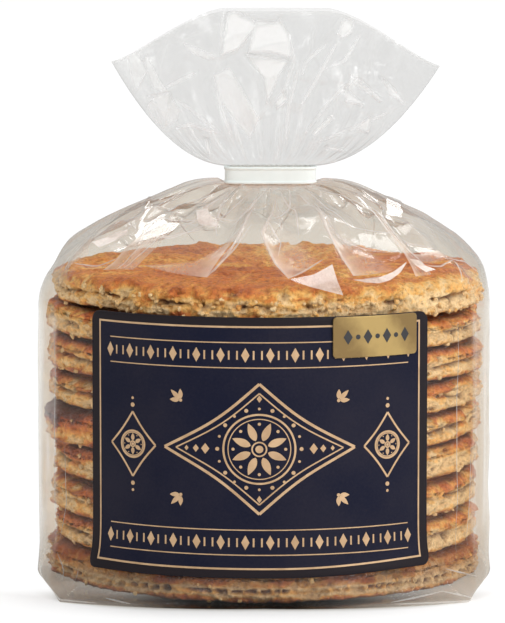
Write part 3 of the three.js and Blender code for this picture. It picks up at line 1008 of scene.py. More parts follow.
def shoulder_relief(azimuth, share):
    """How far the folds lift the film at each place, and how milky they make it."""
    azimuth, share = np.broadcast_arrays(np.asarray(azimuth, float), np.asarray(share, float))
    u, v = (np.mod(azimuth + math.pi, 2 * math.pi) - math.pi) * AROUND, share * UP
    relief, crease = np.zeros(u.shape), np.zeros(u.shape)
    for number, (line, rise, left, right) in enumerate(all_shoulder_folds()):
        lift, mark = fold(u, v, line, rise, left, right)
        relief += lift
        milky = 0.9 if number < len(shoulder_folds) else 0.35 * min(1, abs(rise))
        crease = np.maximum(crease, mark * milky)
    fade = smoothstep(share, 0.06, 0.22) * (1 - 0.7 * smoothstep(share, 0.82, 1.0))
    fade = fade * (1 - 0.55 * np.abs(np.sin(azimuth)) ** 12)
    # Towards the neck the film is gathered in many small ridges that run up into the clip.
    ridge = 1 - 2 * np.abs(np.mod(azimuth * 3.3 + 0.25 * np.sin(7 * azimuth) + 0.2 * share, 1) - 0.5)
    gather = smoothstep(share, 0.42, 0.72) * (1 - smoothstep(share, 0.90, 1.0))
    relief = relief + 1.3 * (ridge - 0.5) * gather * (1 - 0.5 * np.abs(np.sin(azimuth)) ** 8)
    crease = np.maximum(crease, 0.5 * smoothstep(ridge, 0.9, 1.0) * gather)
    return relief * fade, crease * fade


def shoulder_film(azimuth, share, above=0.0):
    """The creased shoulder, or a place `above` millimetres over it."""
    azimuth, share = np.broadcast_arrays(np.asarray(azimuth, float), np.asarray(share, float))
    relief, crease = shoulder_relief(azimuth, share)
    points = shoulder(azimuth, share) + (relief + above)[..., None] * outward(shoulder, azimuth, share)
    return points, crease


print("folds of the shoulder:", len(all_shoulder_folds()), "of which written down:", len(shoulder_folds))

# %% [markdown]
# ## Facets that catch the lamps
#
# The white windows in crumpled film are flat facets that happen to mirror a lamp. Paint can't stand in for
# them, because they would not move when the bag is turned. So the film inside a few outlines, drawn in
# front view, is laid flat and turned until it mirrors the lamp that it nearly faces already.

# %% Facets
eye = np.array(camera.location) / MM


def glint_direction(place, lamp):
    """The direction a flat piece of film has to face at a place, to mirror a lamp into the camera."""
    to_eye, to_lamp = eye - place, lamp - place
    half = to_eye / np.linalg.norm(to_eye) + to_lamp / np.linalg.norm(to_lamp)
    return half / np.linalg.norm(half)


def nearest_glint(place, normals):
    """The direction for a glint that the film can take with the least turn, and that turn in degrees."""
    facing = normals.reshape(-1, 3).mean(0)
    facing /= np.linalg.norm(facing)
    direction = max((glint_direction(place, lamp) for lamp in small_lamps), key=lambda d: d @ facing)
    return direction, math.degrees(math.acos(min(1, direction @ facing)))


def inside(px, py, polygon):
    """How far each place is inside a polygon, in millimetres; less than nothing outside it."""
    polygon = np.asarray(polygon, float)
    odd = np.zeros(px.shape, bool)
    gap = np.full(px.shape, 1e9)
    for (ax, ay), (bx, by) in zip(polygon, np.roll(polygon, -1, 0)):
        crosses = ((ay > py) != (by > py)) & (px < (bx - ax) * (py - ay) / (by - ay + 1e-12) + ax)
        odd ^= crosses
        length = np.hypot(bx - ax, by - ay)
        s = np.clip(((px - ax) * (bx - ax) + (py - ay) * (by - ay)) / length, 0, length)
        gap = np.minimum(gap, np.hypot(px - ax - s * (bx - ax) / length, py - ay - s * (by - ay) / length))
    return np.where(odd, gap, -gap)


def flatten_facet(points, normals, front, polygon, soft=0.7):
    """Turns the film inside a polygon, drawn in front view, into one flat facet that mirrors a lamp."""
    depth = inside(points[..., 0], points[..., 2], polygon)
    share = smoothstep(depth, -soft, 0.15) * front
    within = (depth > 0) & (front > 0.5)
    if within.sum() < 4:
        return points
    middle = points[within].mean(0)
    direction, turned = nearest_glint(middle, normals[within])
    along = np.clip(((middle - points) @ direction) / np.clip(normals @ direction, 0.35, None), -2.2, 0.8)
    print("facet turned by", round(turned), "degrees")
    return points + (along * share)[..., None] * normals


shoulder_facets = [
    [(-24, 79), (-21.6, 77.2), (-16.7, 75.9), (-20.2, 74.8), (-25.5, 73.4), (-28, 72.6), (-30.2, 72.8),
     (-25.1, 76.3)],
    [(-32.9, 69.9), (-29.3, 72.9), (-27.4, 72.4), (-31, 69.6)],
    [(-13.9, 77.6), (-10.8, 77.7), (-8.6, 75.2), (-11.9, 75.3)],
    [(5.1, 65.7), (13.4, 67.8), (15.6, 63.4)],
    [(17.2, 66.4), (22.3, 65.9), (27.3, 66.9), (23.4, 65.1), (19.3, 65.2)],
    [(12.7, 80.5), (16.8, 79.6), (16.1, 78.8), (12.6, 79.6)],
    [(17.9, 79.9), (20.5, 79.9), (23.3, 78), (20.3, 78.3)],
    [(25, 78.9), (28.5, 78), (29.1, 75.9), (25.3, 76.7)],
    [(-4.4, 81.6), (-7.5, 78.6), (-8.3, 77.8), (-8.9, 78.1), (-7.1, 79.6)],
]
print("facets on the shoulder:", len(shoulder_facets))

# %% [markdown]
# ## The bag as one sheet
#
# Wall, shoulder and neck are rings of one mesh, so the film is unbroken from the table to the clip. The
# wall hangs nearly straight, with slow upright waves, and crumples only at the foot of its four corners,
# where it was folded to make the block bottom. Behind the label it is held flat by the paper.

# %% Film of the wall
FOOT_CHART = 46


def corner_crumples():
    """Short folds at the foot of the four upright corners, on a chart with 46 mm to a radian."""
    folds = []
    for corner, middle in enumerate((-132, -48, 48, 132)):
        u = math.radians(middle) * FOOT_CHART
        lean = 60 if middle in (-132, 48) else 120
        folds += random_folds(16, (u - 15, u + 15, 1, 13), lean, 30 + corner, 0.5, 4)
    return folds


def wall_film(azimuth, z):
    azimuth, z = np.broadcast_arrays(azimuth, z)
    ends = smoothstep(z, 2, 12) * (1 - smoothstep(z, 48, 56))
    waves = 0.5 * hills(azimuth * 4.1 + 40, z / 30, 61) + 0.22 * hills(azimuth * 11 + 40, z / 9, 62)
    waves = np.where(np.abs(azimuth) < 0.9, np.minimum(waves, 0.0) * 0.5, waves)
    behind_label = np.exp(-(np.minimum(np.abs(azimuth), 0.82) / 0.8) ** 12)
    crumple = sum(fold(azimuth * FOOT_CHART, z, *each)[0] for each in corner_crumples())
    crumple = np.clip(crumple, -1.2, 0.5) * smoothstep(z, 0.2, 2.0) * (1 - smoothstep(z, 12, 20))
    return wall(azimuth, z, waves * ends + crumple - 0.05 * behind_label)


print("folds at each corner of the foot:", len(corner_crumples()) // 4)

# %% Rings of the bag
ring_places = np.linspace(-math.pi, math.pi, 576, endpoint=False)[None, :]


def bag_rings():
    """Rings of points from the table up to the clip, and how milky each point is."""
    heights = np.concatenate([[0.0], np.linspace(0.7, 8, 12), np.linspace(9, 55.7, 30)])[:, None]
    lower = wall_film(ring_places, heights)
    lower[0] = wall(ring_places, 0.0, -0.7)[0]
    shares = np.linspace(0, 1, 105)[:, None]
    upper, crease = shoulder_film(ring_places, shares)
    normals = outward(shoulder, *np.broadcast_arrays(ring_places, shares))
    front = np.clip(-upper[..., 1], 0, 1)
    for polygon in shoulder_facets:
        upper = flatten_facet(upper, normals, front, polygon)
    x, y = outline(ring_places[0], neck_half_width, neck_half_depth, 4)
    pleat = 1 - 0.05 * np.abs(np.sin(ring_places[0] * 19))
    neck = [np.stack([x * pleat + clip_centre, y * pleat, 0 * x + z], -1) for z in (81.7, 82.6, 84.0, 85.7)]
    gathered = 0.45 * smoothstep(shares, 0.93, 1.0) * (0.6 + 0.4 * np.abs(np.sin(ring_places * 19)))
    crease = np.concatenate([np.zeros(lower.shape[:2]), np.maximum(crease, gathered),
                             np.full((len(neck), len(x)), 0.45)])
    return np.concatenate([lower, upper, np.array(neck)]), crease


bag_points, bag_crease = bag_rings()
print("rings of the bag:", len(bag_points))

# %% [markdown]
# ## Where the film is clear and where it isn't
#
# The same sheet is milky on its ridges, partly a painted highlight, and at the folded foot, nearly invisible
# where it lies tight on the waffles, and warmer where two layers or the folded sides are seen one behind the
# other, partly a painted warm light from the waffles. Under the front of the stack its foot is darkened, a
# painted shadow. These are soft regions, so they are worked out from where each point is.

# %% Looks of the bag
def bag_values(points, crease):
    x, y, z = np.moveaxis(points, -1, 0)
    turn = np.degrees(ring_places)
    in_front = np.clip(-y / 20, 0, 1)
    over_rim = in_front * smoothstep(z, 50, 54) * (1 - smoothstep(z, 67, 73))
    over_rim = over_rim * (1 - smoothstep(np.abs(x), 33, 45))
    on_rim = in_front * smoothstep(z, 55, 57) * (1 - smoothstep(z, 62, 64.5))
    low_front = in_front * (1 - smoothstep(z, 7, 14))
    front_wall = (1 - smoothstep(np.abs(turn), 60, 72)) * (1 - smoothstep(z, 50, 58))
    # The right side of the wall gets the same warm, darker tint.
    right_side = 0.5 * smoothstep(turn, 48, 64) + 0.4 * smoothstep(turn, 72, 84)
    right_side = right_side * (1 - smoothstep(z, 50, 60))
    foot = np.exp(-(np.maximum(z, 0) / 7) ** 2)
    # Painted shadow under the front of the stack: the film foot there is darkened and made less milky.
    shadow_under_stack = np.exp(-((x + 3) / 21) ** 4) * (y < 0) * np.exp(-(np.maximum(z, 0) / 2.5) ** 2)
    return {
        "crease": (crease * (1 - 0.5 * over_rim) - 0.07 * over_rim - 0.035 * front_wall
                   + 0.12 * foot * (1 - 1.5 * shadow_under_stack)),
        "calm": np.maximum(0.9 * (over_rim + low_front), 0.6 * front_wall),
        "doubled_and_warm_light": np.maximum(smoothstep(y, -2, 8), right_side),
        "beside": 1 - smoothstep(z, 50, 68),
        "fading": 0.75 * on_rim,
        "painted_shadow": 0.6 * shadow_under_stack,
    }


bag = add_piece("film_bag", bag_points, grid_faces(*bag_crease.shape, closed=True), clear_film,
                bag_values(bag_points, bag_crease))
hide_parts("bag")
print("bag in mm:", [round(v * 1000, 1) for v in (*bag.dimensions,)])

# %% [markdown]
# ## The film inside the clip
#
# Seen from above, a clip is full of film laid in tight folds. One sheet that runs to and fro from side to
# side is enough to fill it. It sticks out of the clip a little, above and below, and fades there.

# %% Gathered neck
def add_neck_gather():
    along = np.linspace(-8.2, 8.2, 260)
    to_and_fro = np.abs(np.mod(along * 1.15 + 0.3 * np.sin(along * 1.7), 2) - 1) * 2 - 1
    depth = 1.6 * (1 - np.abs(along / 8.6) ** 4)
    heights = (80.8, 81.8, 82.8, 84.0, 85.2, 86.0)
    sheet = np.array([np.stack([along + clip_centre, to_and_fro * depth, 0 * along + z], -1)
                      for z in heights])
    ends = np.array([0.9, 0.0, 0.0, 0.0, 0.0, 0.9])[:, None] + 0 * along
    return add_piece("film_neck_gather", sheet, grid_faces(*ends.shape), clear_film,
                     {"crease": 0 * ends + 0.85, "calm": 0 * ends + 0.5, "fading": ends})


neck_gather = add_neck_gather()

# %% [markdown]
# ## Pleats over the shoulder
#
# Where the tube of film is too wide for the round stack, it doubles back on itself in flat knife pleats.
# Three layers lie on each other there, and look milky. Each pleat is its own thin flap, stretched between
# two edge lines that are given on the shoulder, and it lies just above the film, so it stays in place from
# every side. Many small flaps are joined into one piece, which is easier to handle than fifty.

# %% Strips that lie on the film
def along_line(line, count):
    """Evenly spread places along a bent line."""
    line = np.asarray(line, float)
    lengths = np.concatenate([[0], np.cumsum(np.hypot(*np.diff(line, axis=0).T))])
    wanted = np.linspace(0, lengths[-1], count)
    return np.stack([np.interp(wanted, lengths, line[:, axis]) for axis in range(2)], -1)


def stretched(first, second, steps, across):
    """A grid of places between two edge lines, and how far across it each column is."""
    one, two = along_line(first, steps)[:, None], along_line(second, steps)[:, None]
    share = np.linspace(0, 1, across)[None, :, None]
    return one * (1 - share) + two * share, share[..., 0]


def add_strips(name, strips, material, **values):
    """Many small grids of film as one piece. Each value is a list with one array for each grid."""
    starts = np.cumsum([0] + [strip.shape[0] * strip.shape[1] for strip in strips])
    faces = [grid_faces(*strip.shape[:2], start=start) for strip, start in zip(strips, starts)]
    points = np.concatenate([strip.reshape(-1, 3) for strip in strips])
    joined = {key: np.concatenate([np.ravel(each) for each in value]) for key, value in values.items()}
    return add_piece(name, points, np.concatenate(faces), material, joined)


print("a line of 10 in 3 places:", along_line([(0, 0), (10, 0)], 3)[:, 0])

# %% Pleats
# The near and the far edge of each pleat, as (azimuth, share) from its tip down.
pleats = {
    "left_knife": ([(-35, 0.331), (-25, 0.298), (-15.4, 0.277)],
                   [(-35, 0.333), (-19.5, 0.39), (-7.6, 0.609)]),
    "middle_knife": ([(3.5, 0.80), (-1.9, 0.536), (2.2, 0.349), (5.6, 0.269)],
                     [(3.5, 0.80), (9, 0.6), (15.3, 0.37)]),
    "right_knife": ([(21.2, 0.769), (19.5, 0.612), (19.5, 0.473), (20.5, 0.366), (22.9, 0.277)],
                    [(21.2, 0.769), (33.1, 0.46), (37.9, 0.302)]),
    "far_right": ([(44.6, 0.762), (41.5, 0.557), (41, 0.391), (42, 0.252)],
                  [(46.6, 0.762), (43.2, 0.557), (43.2, 0.391), (47.8, 0.254)]),
    "right_corner": ([(44, 0.37), (60.6, 0.401)], [(47.4, 0.305), (58.9, 0.315)]),
    "far_left": ([(-37, 0.653), (-41, 0.45), (-49, 0.287)], [(-36, 0.653), (-33, 0.46), (-38, 0.30)]),
    "left_corner": ([(-67, 0.447), (-65, 0.354), (-63, 0.24)], [(-60, 0.44), (-57, 0.35), (-60, 0.26)]),
}
broad_pleats = ("left_knife", "middle_knife", "right_knife", "right_corner")


def add_pleats():
    """Each pleat is milky along its folded edge, partly a painted highlight, and runs out softly on its other
    side and up the neck.
    """
    flaps, fades, edges = [], [], []
    steps, across = 44, 26
    for name, (first, second) in pleats.items():
        place, share = stretched(first, second, steps, across)
        flap, _ = shoulder_film(np.radians(place[..., 0]), place[..., 1], 0.35)
        fading = smoothstep(place[..., 1], 0.40, 0.70)
        if name in broad_pleats:
            fading = np.maximum(fading, smoothstep(share, 0.6, 1.0))
        from_edge = np.linspace(1, 0, steps)[:, None] if name == "left_knife" else share
        flaps.append(flap)
        fades.append(fading)
        edges.append(0.55 * np.exp(-(from_edge / 0.16) ** 1.5) + 0 * fading)
    return add_strips("film_pleats", flaps, pleated_film, fading=fades, crease=edges,
                      calm=[0 * edge + 0.6 for edge in edges])


film_pleats = add_pleats()

# %% [markdown]
# ## Turned flaps
#
# Where a pleat turns over at its foot, its narrow inner side shows white. These flaps are flat and stiff,
# and turned to a lamp like the facets, but they lie over the film as pieces of their own. Their film is
# made milky white as well, a painted highlight.

# %% Turned flaps
turned_flaps = {
    "triangle": ([(6.1, 0.258), (12, 0.284), (17.3, 0.330)], [(6.3, 0.252), (13, 0.212), (19.4, 0.172)]),
    "crescent": ([(22.9, 0.256), (29, 0.257), (34, 0.274), (37.9, 0.302)],
                 [(22.9, 0.253), (26, 0.238), (29.5, 0.230), (33, 0.238), (36, 0.264), (37.9, 0.298)]),
    "square": ([(-33.5, 0.733), (-28.1, 0.738)], [(-24.5, 0.610), (-17.5, 0.613)]),
    "strip": ([(-57.4, 0.40), (-50, 0.52)], [(-52.5, 0.375), (-47.5, 0.49)]),
    "notch": ([(41.8, 0.345), (44, 0.252)], [(44.5, 0.33), (48.3, 0.262)]),
}


def add_turned_flaps():
    flaps, milk = [], []
    for name, (first, second) in turned_flaps.items():
        place, _ = stretched(first, second, 30, 12)
        azimuth, share = np.radians(place[..., 0]), place[..., 1]
        flap, _ = shoulder_film(azimuth, share, 0.8)
        normals = outward(shoulder, azimuth, share)
        middle = flap.reshape(-1, 3).mean(0)
        direction, turned = nearest_glint(middle, normals)
        along = np.clip(((middle - flap) @ direction) / (normals @ direction), -0.2, 2.0)
        flaps.append(flap + along[..., None] * normals)
        from_tip = np.linspace(0, 1, len(flap))[:, None] + 0 * share
        milk.append(-0.75 * (1 - smoothstep(from_tip, 0.0, 0.75)) if name == "triangle" else 0 * share)
        print(name, "turned by", round(turned), "degrees")
    return add_strips("film_turned_flaps", flaps, turned_highlight_film, crease=milk)


film_turned_flaps = add_turned_flaps()

# %% [markdown]
# ## Hard creases
#
# A hard fold line shows as a white line thinner than half a millimetre: partly the whitening of the fold,
# partly a painted highlight, since the ribbons are made milky white. The mesh of the bag is too coarse to
# carry it, so each line is a narrow ribbon that follows the film. A finer mesh all over would do the same
# with a hundred times the triangles.

# %% Crease lines
# Places along each crease of the shoulder, as (azimuth, share).
crease_lines = [
    [(-37, 0.65), (-37.1, 0.44), (-43.2, 0.287)], [(-33, 0.62), (-35, 0.44), (-41, 0.3)],
    [(-66.2, 0.447), (-62.8, 0.354), (-61.1, 0.24)], [(-71, 0.42), (-69, 0.3), (-68, 0.22)],
    [(-58.9, 0.283), (-51.7, 0.317), (-44.3, 0.36)], [(-22, 0.6), (-30, 0.5), (-38, 0.46)],
    [(-7.6, 0.609), (-8.8, 0.514), (-11, 0.385), (-15.4, 0.277)],
    [(-5.5, 0.58), (-9, 0.44), (-14, 0.3)], [(-1.9, 0.536), (-0.5, 0.467), (2.2, 0.349), (5.6, 0.269)],
    [(5.6, 0.269), (15.3, 0.37)],
    [(21.2, 0.769), (19.5, 0.612), (19.5, 0.473), (20.5, 0.366), (22.9, 0.277)],
    [(46.6, 0.762), (43, 0.557), (43, 0.391), (47.8, 0.254)],
    [(44.8, 0.74), (41.3, 0.55), (41.3, 0.39), (43, 0.28)], [(47.4, 0.305), (53, 0.29), (58.9, 0.315)],
    [(58.9, 0.315), (57.5, 0.187)], [(62, 0.36), (70, 0.3), (76, 0.2)],
    [(-12, 0.7), (-22, 0.71), (-33, 0.735)], [(26, 0.26), (32, 0.265), (37.9, 0.302)],
    [(110, 0.25), (120, 0.5), (125, 0.75)], [(150, 0.22), (143, 0.5), (150, 0.8)],
    [(-30, 0.95), (-24, 0.78), (-17, 0.55)], [(-16, 0.93), (-19, 0.75), (-27, 0.52)],
    [(-4, 0.95), (-8, 0.78), (-14, 0.62)], [(8, 0.94), (12, 0.76), (10, 0.55)],
    [(16, 0.95), (10, 0.8), (2, 0.66)], [(30, 0.93), (27, 0.76), (30, 0.58)],
    [(38, 0.95), (50, 0.72), (56, 0.52)], [(-44, 0.94), (-52, 0.74), (-50, 0.5)],
    [(55, 0.9), (66, 0.62), (70, 0.44)], [(-60, 0.9), (-68, 0.66), (-74, 0.42)],
    [(0, 0.62), (4, 0.5), (3, 0.4)], [(30, 0.62), (40, 0.52), (52, 0.46)],
    [(-110, 0.22), (-122, 0.5), (-126, 0.75)], [(-160, 0.25), (-150, 0.45), (-155, 0.78)],
    [(178, 0.25), (170, 0.6)],
]
# The upright edges of the folded sides, as (azimuth, height).
wall_creases = [
    [(55.5, 57), (54.6, 40), (55.2, 20), (55, 8)], [(-63, 55), (-62, 36), (-63.5, 18), (-62, 9)],
    [(60, 30), (59, 9)], [(-57.5, 30), (-57, 18), (-59, 10)], [(122, 56), (120, 30), (121, 9)],
    [(-120, 56), (-121, 30), (-119, 9)],
]


def ribbon(points, normals, width):
    """A flat ribbon along a row of points, two points wide, and narrow at its ends."""
    sideways = np.cross(np.gradient(points, axis=0), normals)
    sideways /= np.linalg.norm(sideways, axis=1, keepdims=True)
    taper = np.sin(np.linspace(0.12, math.pi - 0.12, len(points)))[:, None] ** 0.7
    half = sideways * taper * width / 2
    return np.stack([points - half, points + half], 1)


def add_crease_lines():
    ribbons = []
    for line in crease_lines:
        azimuth, share = along_line(line, 48).T
        azimuth = np.radians(azimuth)
        middle, _ = shoulder_film(azimuth, share, 0.45)
        ribbons.append(ribbon(middle, outward(shoulder, azimuth, share), 0.42))
    for line in wall_creases:
        azimuth, z = along_line(line, 48).T
        middle = wall_film(np.radians(azimuth), np.minimum(z, 55.7))
        outwards = middle * [1, 1, 0] / np.hypot(middle[:, :1], middle[:, 1:2])
        ribbons.append(ribbon(middle + 0.15 * outwards, outwards, 0.26))
    return add_strips("film_creases", ribbons, creased_film)


film_creases = add_crease_lines()

# %% [markdown]
# ## The fan
#
# Above the clip the gathered film springs open again into a flat fan of two sheets, which meet along both
# sides. It is stiff enough to stand. The folds all start at the clip and run outwards, and cross folds
# break them into facets. Some facets are turned to face a lamp squarely and show as white windows, and
# their film is made milky white as well, a painted highlight. In some other places white patches are
# painted on the film as highlights. As on the shoulder, the large folds are written down, here in front
# view, and the small ones are drawn at random.

# %% Shape of the fan
def mouth_height(across):
    """The top edge is straight in the middle and falls in a slow curve to the two tips."""
    down = np.clip((np.abs(across) - 0.33) / 0.67, 0, None) ** 1.5
    return fan_top - np.where(across < 0, 10.9, 11.8) * down


def fan(azimuth, share):
    """A place on the smooth fan. `share` runs from 0 at the clip to 1 at the mouth."""
    azimuth, share = np.broadcast_arrays(azimuth, share)
    spread = np.sqrt(share)
    half_width = neck_half_width + (34.5 - neck_half_width) * spread
    half_depth = neck_half_depth + (8.5 - neck_half_depth) * share
    x, y = outline(azimuth, half_width, half_depth, 4 + (1.6 - 4) * spread)
    x = x + clip_centre + (2.45 - clip_centre) * spread
    return np.stack([x, y, fan_start + (mouth_height(np.sin(azimuth)) - fan_start) * share], -1)


print("tips of the fan in mm:", fan(-math.pi / 2, 1.0).round(1), fan(math.pi / 2, 1.0).round(1))

# %% Folds of the fan
# Places in front view, in millimetres, then the rise and the widths to both sides.
front_fan_folds = [
    ([(-18.2, 112.5), (-8.6, 108.1)], 0.9, 4, 3), ([(-6.3, 105.2), (-1.7, 95.5)], 1.0, 3, 2.5),
    ([(16.1, 113.7), (10.5, 103.3), (6.7, 97.2)], 1.2, 4, 4),
    ([(-10.9, 104.3), (-6.3, 90.7)], 1.1, 3, 3), ([(-19.5, 101), (-8.2, 92.2)], 1.2, 4, 4),
    ([(-26.4, 100.1), (-19.5, 101.4)], 0.9, 3, 3),
    ([(20.7, 114.6), (16.9, 108.1), (11.5, 105.8)], -0.8, 4, 4),
    ([(5.4, 113.1), (6.3, 108.1), (4, 101.4), (1.7, 98.7)], 0.9, 2, 4),
    ([(-20.7, 93), (-15.5, 94.7), (-8.2, 92.6)], 0.9, 3, 3),
    ([(16.9, 108.1), (18.4, 103.9), (13.8, 99.7), (7.5, 91.3)], 1.1, 4, 3),
    ([(29.5, 98.7), (20.1, 94.5), (9.6, 90.3)], 1.0, 4, 4),
    ([(-13.4, 106), (-21.8, 101.8)], -0.8, 4, 4), ([(-28.6, 109.3), (-27.2, 99.7)], 0.8, 3, 3),
    ([(-8.8, 118.5), (-8.8, 108.5)], 0.8, 3, 4), ([(7.5, 108.1), (5, 97.6), (4.6, 89.2)], 0.9, 3, 3),
    ([(13.8, 112.3), (8.8, 108.1), (7.5, 103.9)], 0.7, 3, 3),
]
fan_facets = [
    [(-7.7, 117.9), (-5.9, 118.5), (-2.5, 116.8), (-1.7, 115.4), (-5.4, 110.6), (-8.8, 109.3)],
    [(-1.7, 116.4), (2.5, 116), (3.3, 117.3), (5.4, 113.1), (5.4, 108.9), (1.2, 110), (-3.4, 109.8),
     (-2.5, 113.1)],
    [(-3.8, 109.3), (5.4, 108.1), (3.1, 105.2), (0.6, 99.1), (0, 104.3)],
    [(-28.6, 109.3), (-26.6, 110.4), (-24.5, 105.8), (-27.4, 100.1)],
    [(-23.4, 100.5), (-19.5, 101.4), (-20.7, 94.5)],
    [(15.2, 113.7), (16.7, 117.1), (18.6, 115.8), (18, 113.7), (16.1, 112.9)],
    [(18.8, 104.5), (19.9, 104.3), (24.9, 99.7), (24.1, 99.5)],
    [(24.1, 104.7), (25.1, 104.3), (29.9, 98.9), (29.1, 98.5)],
    [(16.9, 102.4), (20.9, 98.7), (17, 99.5)], [(19.1, 94), (22.6, 96.6), (21.8, 92.8)],
    [(13.8, 96.4), (14.4, 95.7), (10.7, 92.2), (10.1, 92.8)],
    [(12.8, 89.8), (15.1, 89.8), (17.2, 88.8), (13.8, 89.2)],
    [(4, 101.6), (5, 100.1), (2.7, 98), (2.3, 99.1)],
    [(-12.4, 91.5), (-11.7, 91.5), (-10.9, 88.2), (-11.9, 88.6)],
]
# Outlines in front view of white patches painted on the fan as highlights.
fan_painted_highlights = [
    [(-28.7, 109.5), (-25.5, 110.5), (-26.1, 106.3), (-27.6, 99.5), (-28.2, 104.8)],
    [(-24.5, 110), (-21.8, 104.2), (-19.7, 101.1), (-23.4, 102.1), (-25.5, 107.9)],
    [(-10.8, 105.3), (-7.1, 106.9), (-5, 103.2), (-0.8, 95.8), (-2.9, 91.1), (-6.1, 95.3),
     (-9.2, 99.5)],
    [(-18.2, 112.6), (-14.5, 111), (-10.8, 108.9), (-11.2, 108), (-15, 109.6)],
    [(15.4, 113.8), (16, 116.9), (18.6, 116.9), (18.9, 114.8), (17, 112.7)],
    [(17.5, 105.8), (20.2, 103.9), (24.4, 99.5), (19.4, 102.3)],
    [(24.4, 104.6), (27.5, 102.3), (29.6, 98.7), (25.9, 100.8)],
    [(-21.3, 101.1), (-19.5, 101.1), (-17.6, 97.9), (-18.1, 95.3), (-21.3, 93.0), (-24.4, 95.3),
     (-24.8, 99.0)],
]
# Ridges that run out of the clip: how many to a radian, how high, and how far they reach.
fan_ridges = [(5.2, 3.0, 0.35), (10.7, 2.0, 0.2)]
print("fan:", len(front_fan_folds), "folds,", len(fan_facets), "facets,", len(fan_painted_highlights), "painted_highlights")

# %% Two sheets of film
def add_fan_sheet(name, middle, folds, facets, painted_highlights, seed):
    """One of the two sheets. `middle` is the azimuth it faces: 0 in front, half a turn at the rear."""
    azimuth = middle + np.linspace(-math.pi / 2, math.pi / 2, 250)[None, :]
    share = np.linspace(0, 1, 112)[:, None] ** 1.5
    points = fan(azimuth, share)
    x, z = points[..., 0].copy(), points[..., 2].copy()
    relief, crease = np.zeros(x.shape), np.zeros(x.shape)
    all_folds = folds + random_folds(34, (-32, 36, 88, 118), 80, seed, 0.8, 10)
    for number, (line, rise, left, right) in enumerate(all_folds):
        lift, mark = fold(x, z, line, rise, left, right, 0.42)
        relief += lift
        crease = np.maximum(crease, mark * (0.55 if number < len(folds) else min(0.3, abs(rise) * 0.25)))
    for count, high, reach in fan_ridges:
        spokes = np.abs(np.mod(azimuth * count + 0.35 * np.sin(azimuth * 3 + seed), 1) - 0.5)
        relief = relief + high * (spokes - 0.25) * np.exp(-share / reach) * smoothstep(share, 0.0, 0.08)
        crease = np.maximum(crease, 0.4 * smoothstep(spokes, 0.43, 0.5) * np.exp(-share / reach))
    # The sheets are flat where they leave the clip and where they meet at the sides.
    ends = smoothstep(share, 0.0, 0.12) * (1 - np.abs(np.sin(azimuth)) ** 10)
    forward = -1 if middle == 0 else 1
    points[..., 1] += forward * relief * ends
    normals = np.zeros(points.shape)
    normals[..., 1] = forward
    # Painted highlights: white patches laid on the film inside these outlines.
    for polygon in painted_highlights:
        crease = np.maximum(crease, 0.72 * smoothstep(inside(x, z, polygon), -0.3, 0.8))
    # Each facet is turned to mirror a lamp, and its film is made milky white as well, a painted highlight.
    for polygon in facets:
        crease = np.maximum(crease, smoothstep(inside(x, z, polygon), -0.3, 0.5))
        points = flatten_facet(points, normals, ends, polygon, 0.5)
    half_gap = 0.1
    keep_apart = np.minimum if forward < 0 else np.maximum
    points[..., 1] = keep_apart(points[..., 1], forward * half_gap)
    crease = np.maximum(crease * ends, 0.25 * smoothstep(share, 0.965, 0.99))
    return add_piece(name, points, grid_faces(*crease.shape), fan_film, {"crease": crease})


front_fan = add_fan_sheet("film_fan_front", 0, front_fan_folds, fan_facets, fan_painted_highlights, 11)
rear_fan = add_fan_sheet("film_fan_rear", math.pi, [], [], [], 12)

# %% [markdown]
# ## The block bottom
#
# Under the stack the film is folded flat into a rectangle with four pointed ears. The fold lines are
# pressed hard and show as white lines along the table: ribbons of milky film, partly a painted highlight.
# The sheet is a set of rings inside the foot of the wall, and the lines are ribbons like the creases of the
# shoulder. Under the front of the stack and on the left ear the film is darkened, a painted shadow, and the
# right ear is made milkier, which lightens it.

# %% Bottom of the bag
def add_base():
    azimuth = np.linspace(-math.pi, math.pi, 360, endpoint=False)
    edge = wall(azimuth, 0.0, -0.7)
    rings = []
    for size, sag in zip((0.999, 0.97, 0.9, 0.75, 0.5, 0.25, 0.02), (0, 0.1, 0.2, 0.2, 0.2, 0.2, 0.2)):
        ring = edge * [size, size, 1] + [0, 0, 0.12]
        ring[:, 2] += sag * (1 + hills(azimuth * 9 + 30, 0 * azimuth + sag * 9, 71))
        rings.append(ring)
    points = np.array(rings)
    x, in_front = points[..., 0], points[..., 1] < 0
    pressed = np.zeros(x.shape)
    pressed[:2] = 0.3
    # Painted shadow: under the front of the stack and on the left ear the film is darkened. The right ear is
    # made milkier, which lightens it.
    shadow_under_stack = np.exp(-((x + 3) / 21) ** 4) * in_front
    crease = pressed * (1 - shadow_under_stack) + 0.3 * smoothstep(x, 24, 34)
    painted_shadow = np.maximum(shadow_under_stack, 0.42 * smoothstep(-x, 24, 34) * in_front)
    return add_piece("film_base", points, grid_faces(*x.shape, closed=True), bottom_film,
                     {"crease": crease, "painted_shadow": painted_shadow})


# The pressed edge and the folds that cross each ear: from one azimuth to another, and the height at both.
base_folds = [
    (28.5, 41.5, 1.0, 2.2), (29, 47, 0.7, 0.35), (41.5, 47.5, 2.2, 0.5), (48, 60, 5.5, 2.5),
    (-56, -37, 0.7, 0.5), (-50, -45, 5.4, 1.2), (-60, -53, 7.5, 2.2), (-36, -30, 1.4, 0.7),
    (116, 150, 1.0, 0.5), (-156, -116, 1.0, 0.5),
]


def add_base_creases():
    ribbons = []
    for left, right, low, high in base_folds:
        middle = wall(np.radians(np.linspace(left, right, 60)), np.linspace(low, high, 60), 0.25)
        normals = middle * [1, 1, 0]
        normals /= np.linalg.norm(normals, axis=1, keepdims=True)
        ribbons.append(ribbon(middle, normals, 0.36))
    return add_strips("film_base_creases", ribbons, creased_film)


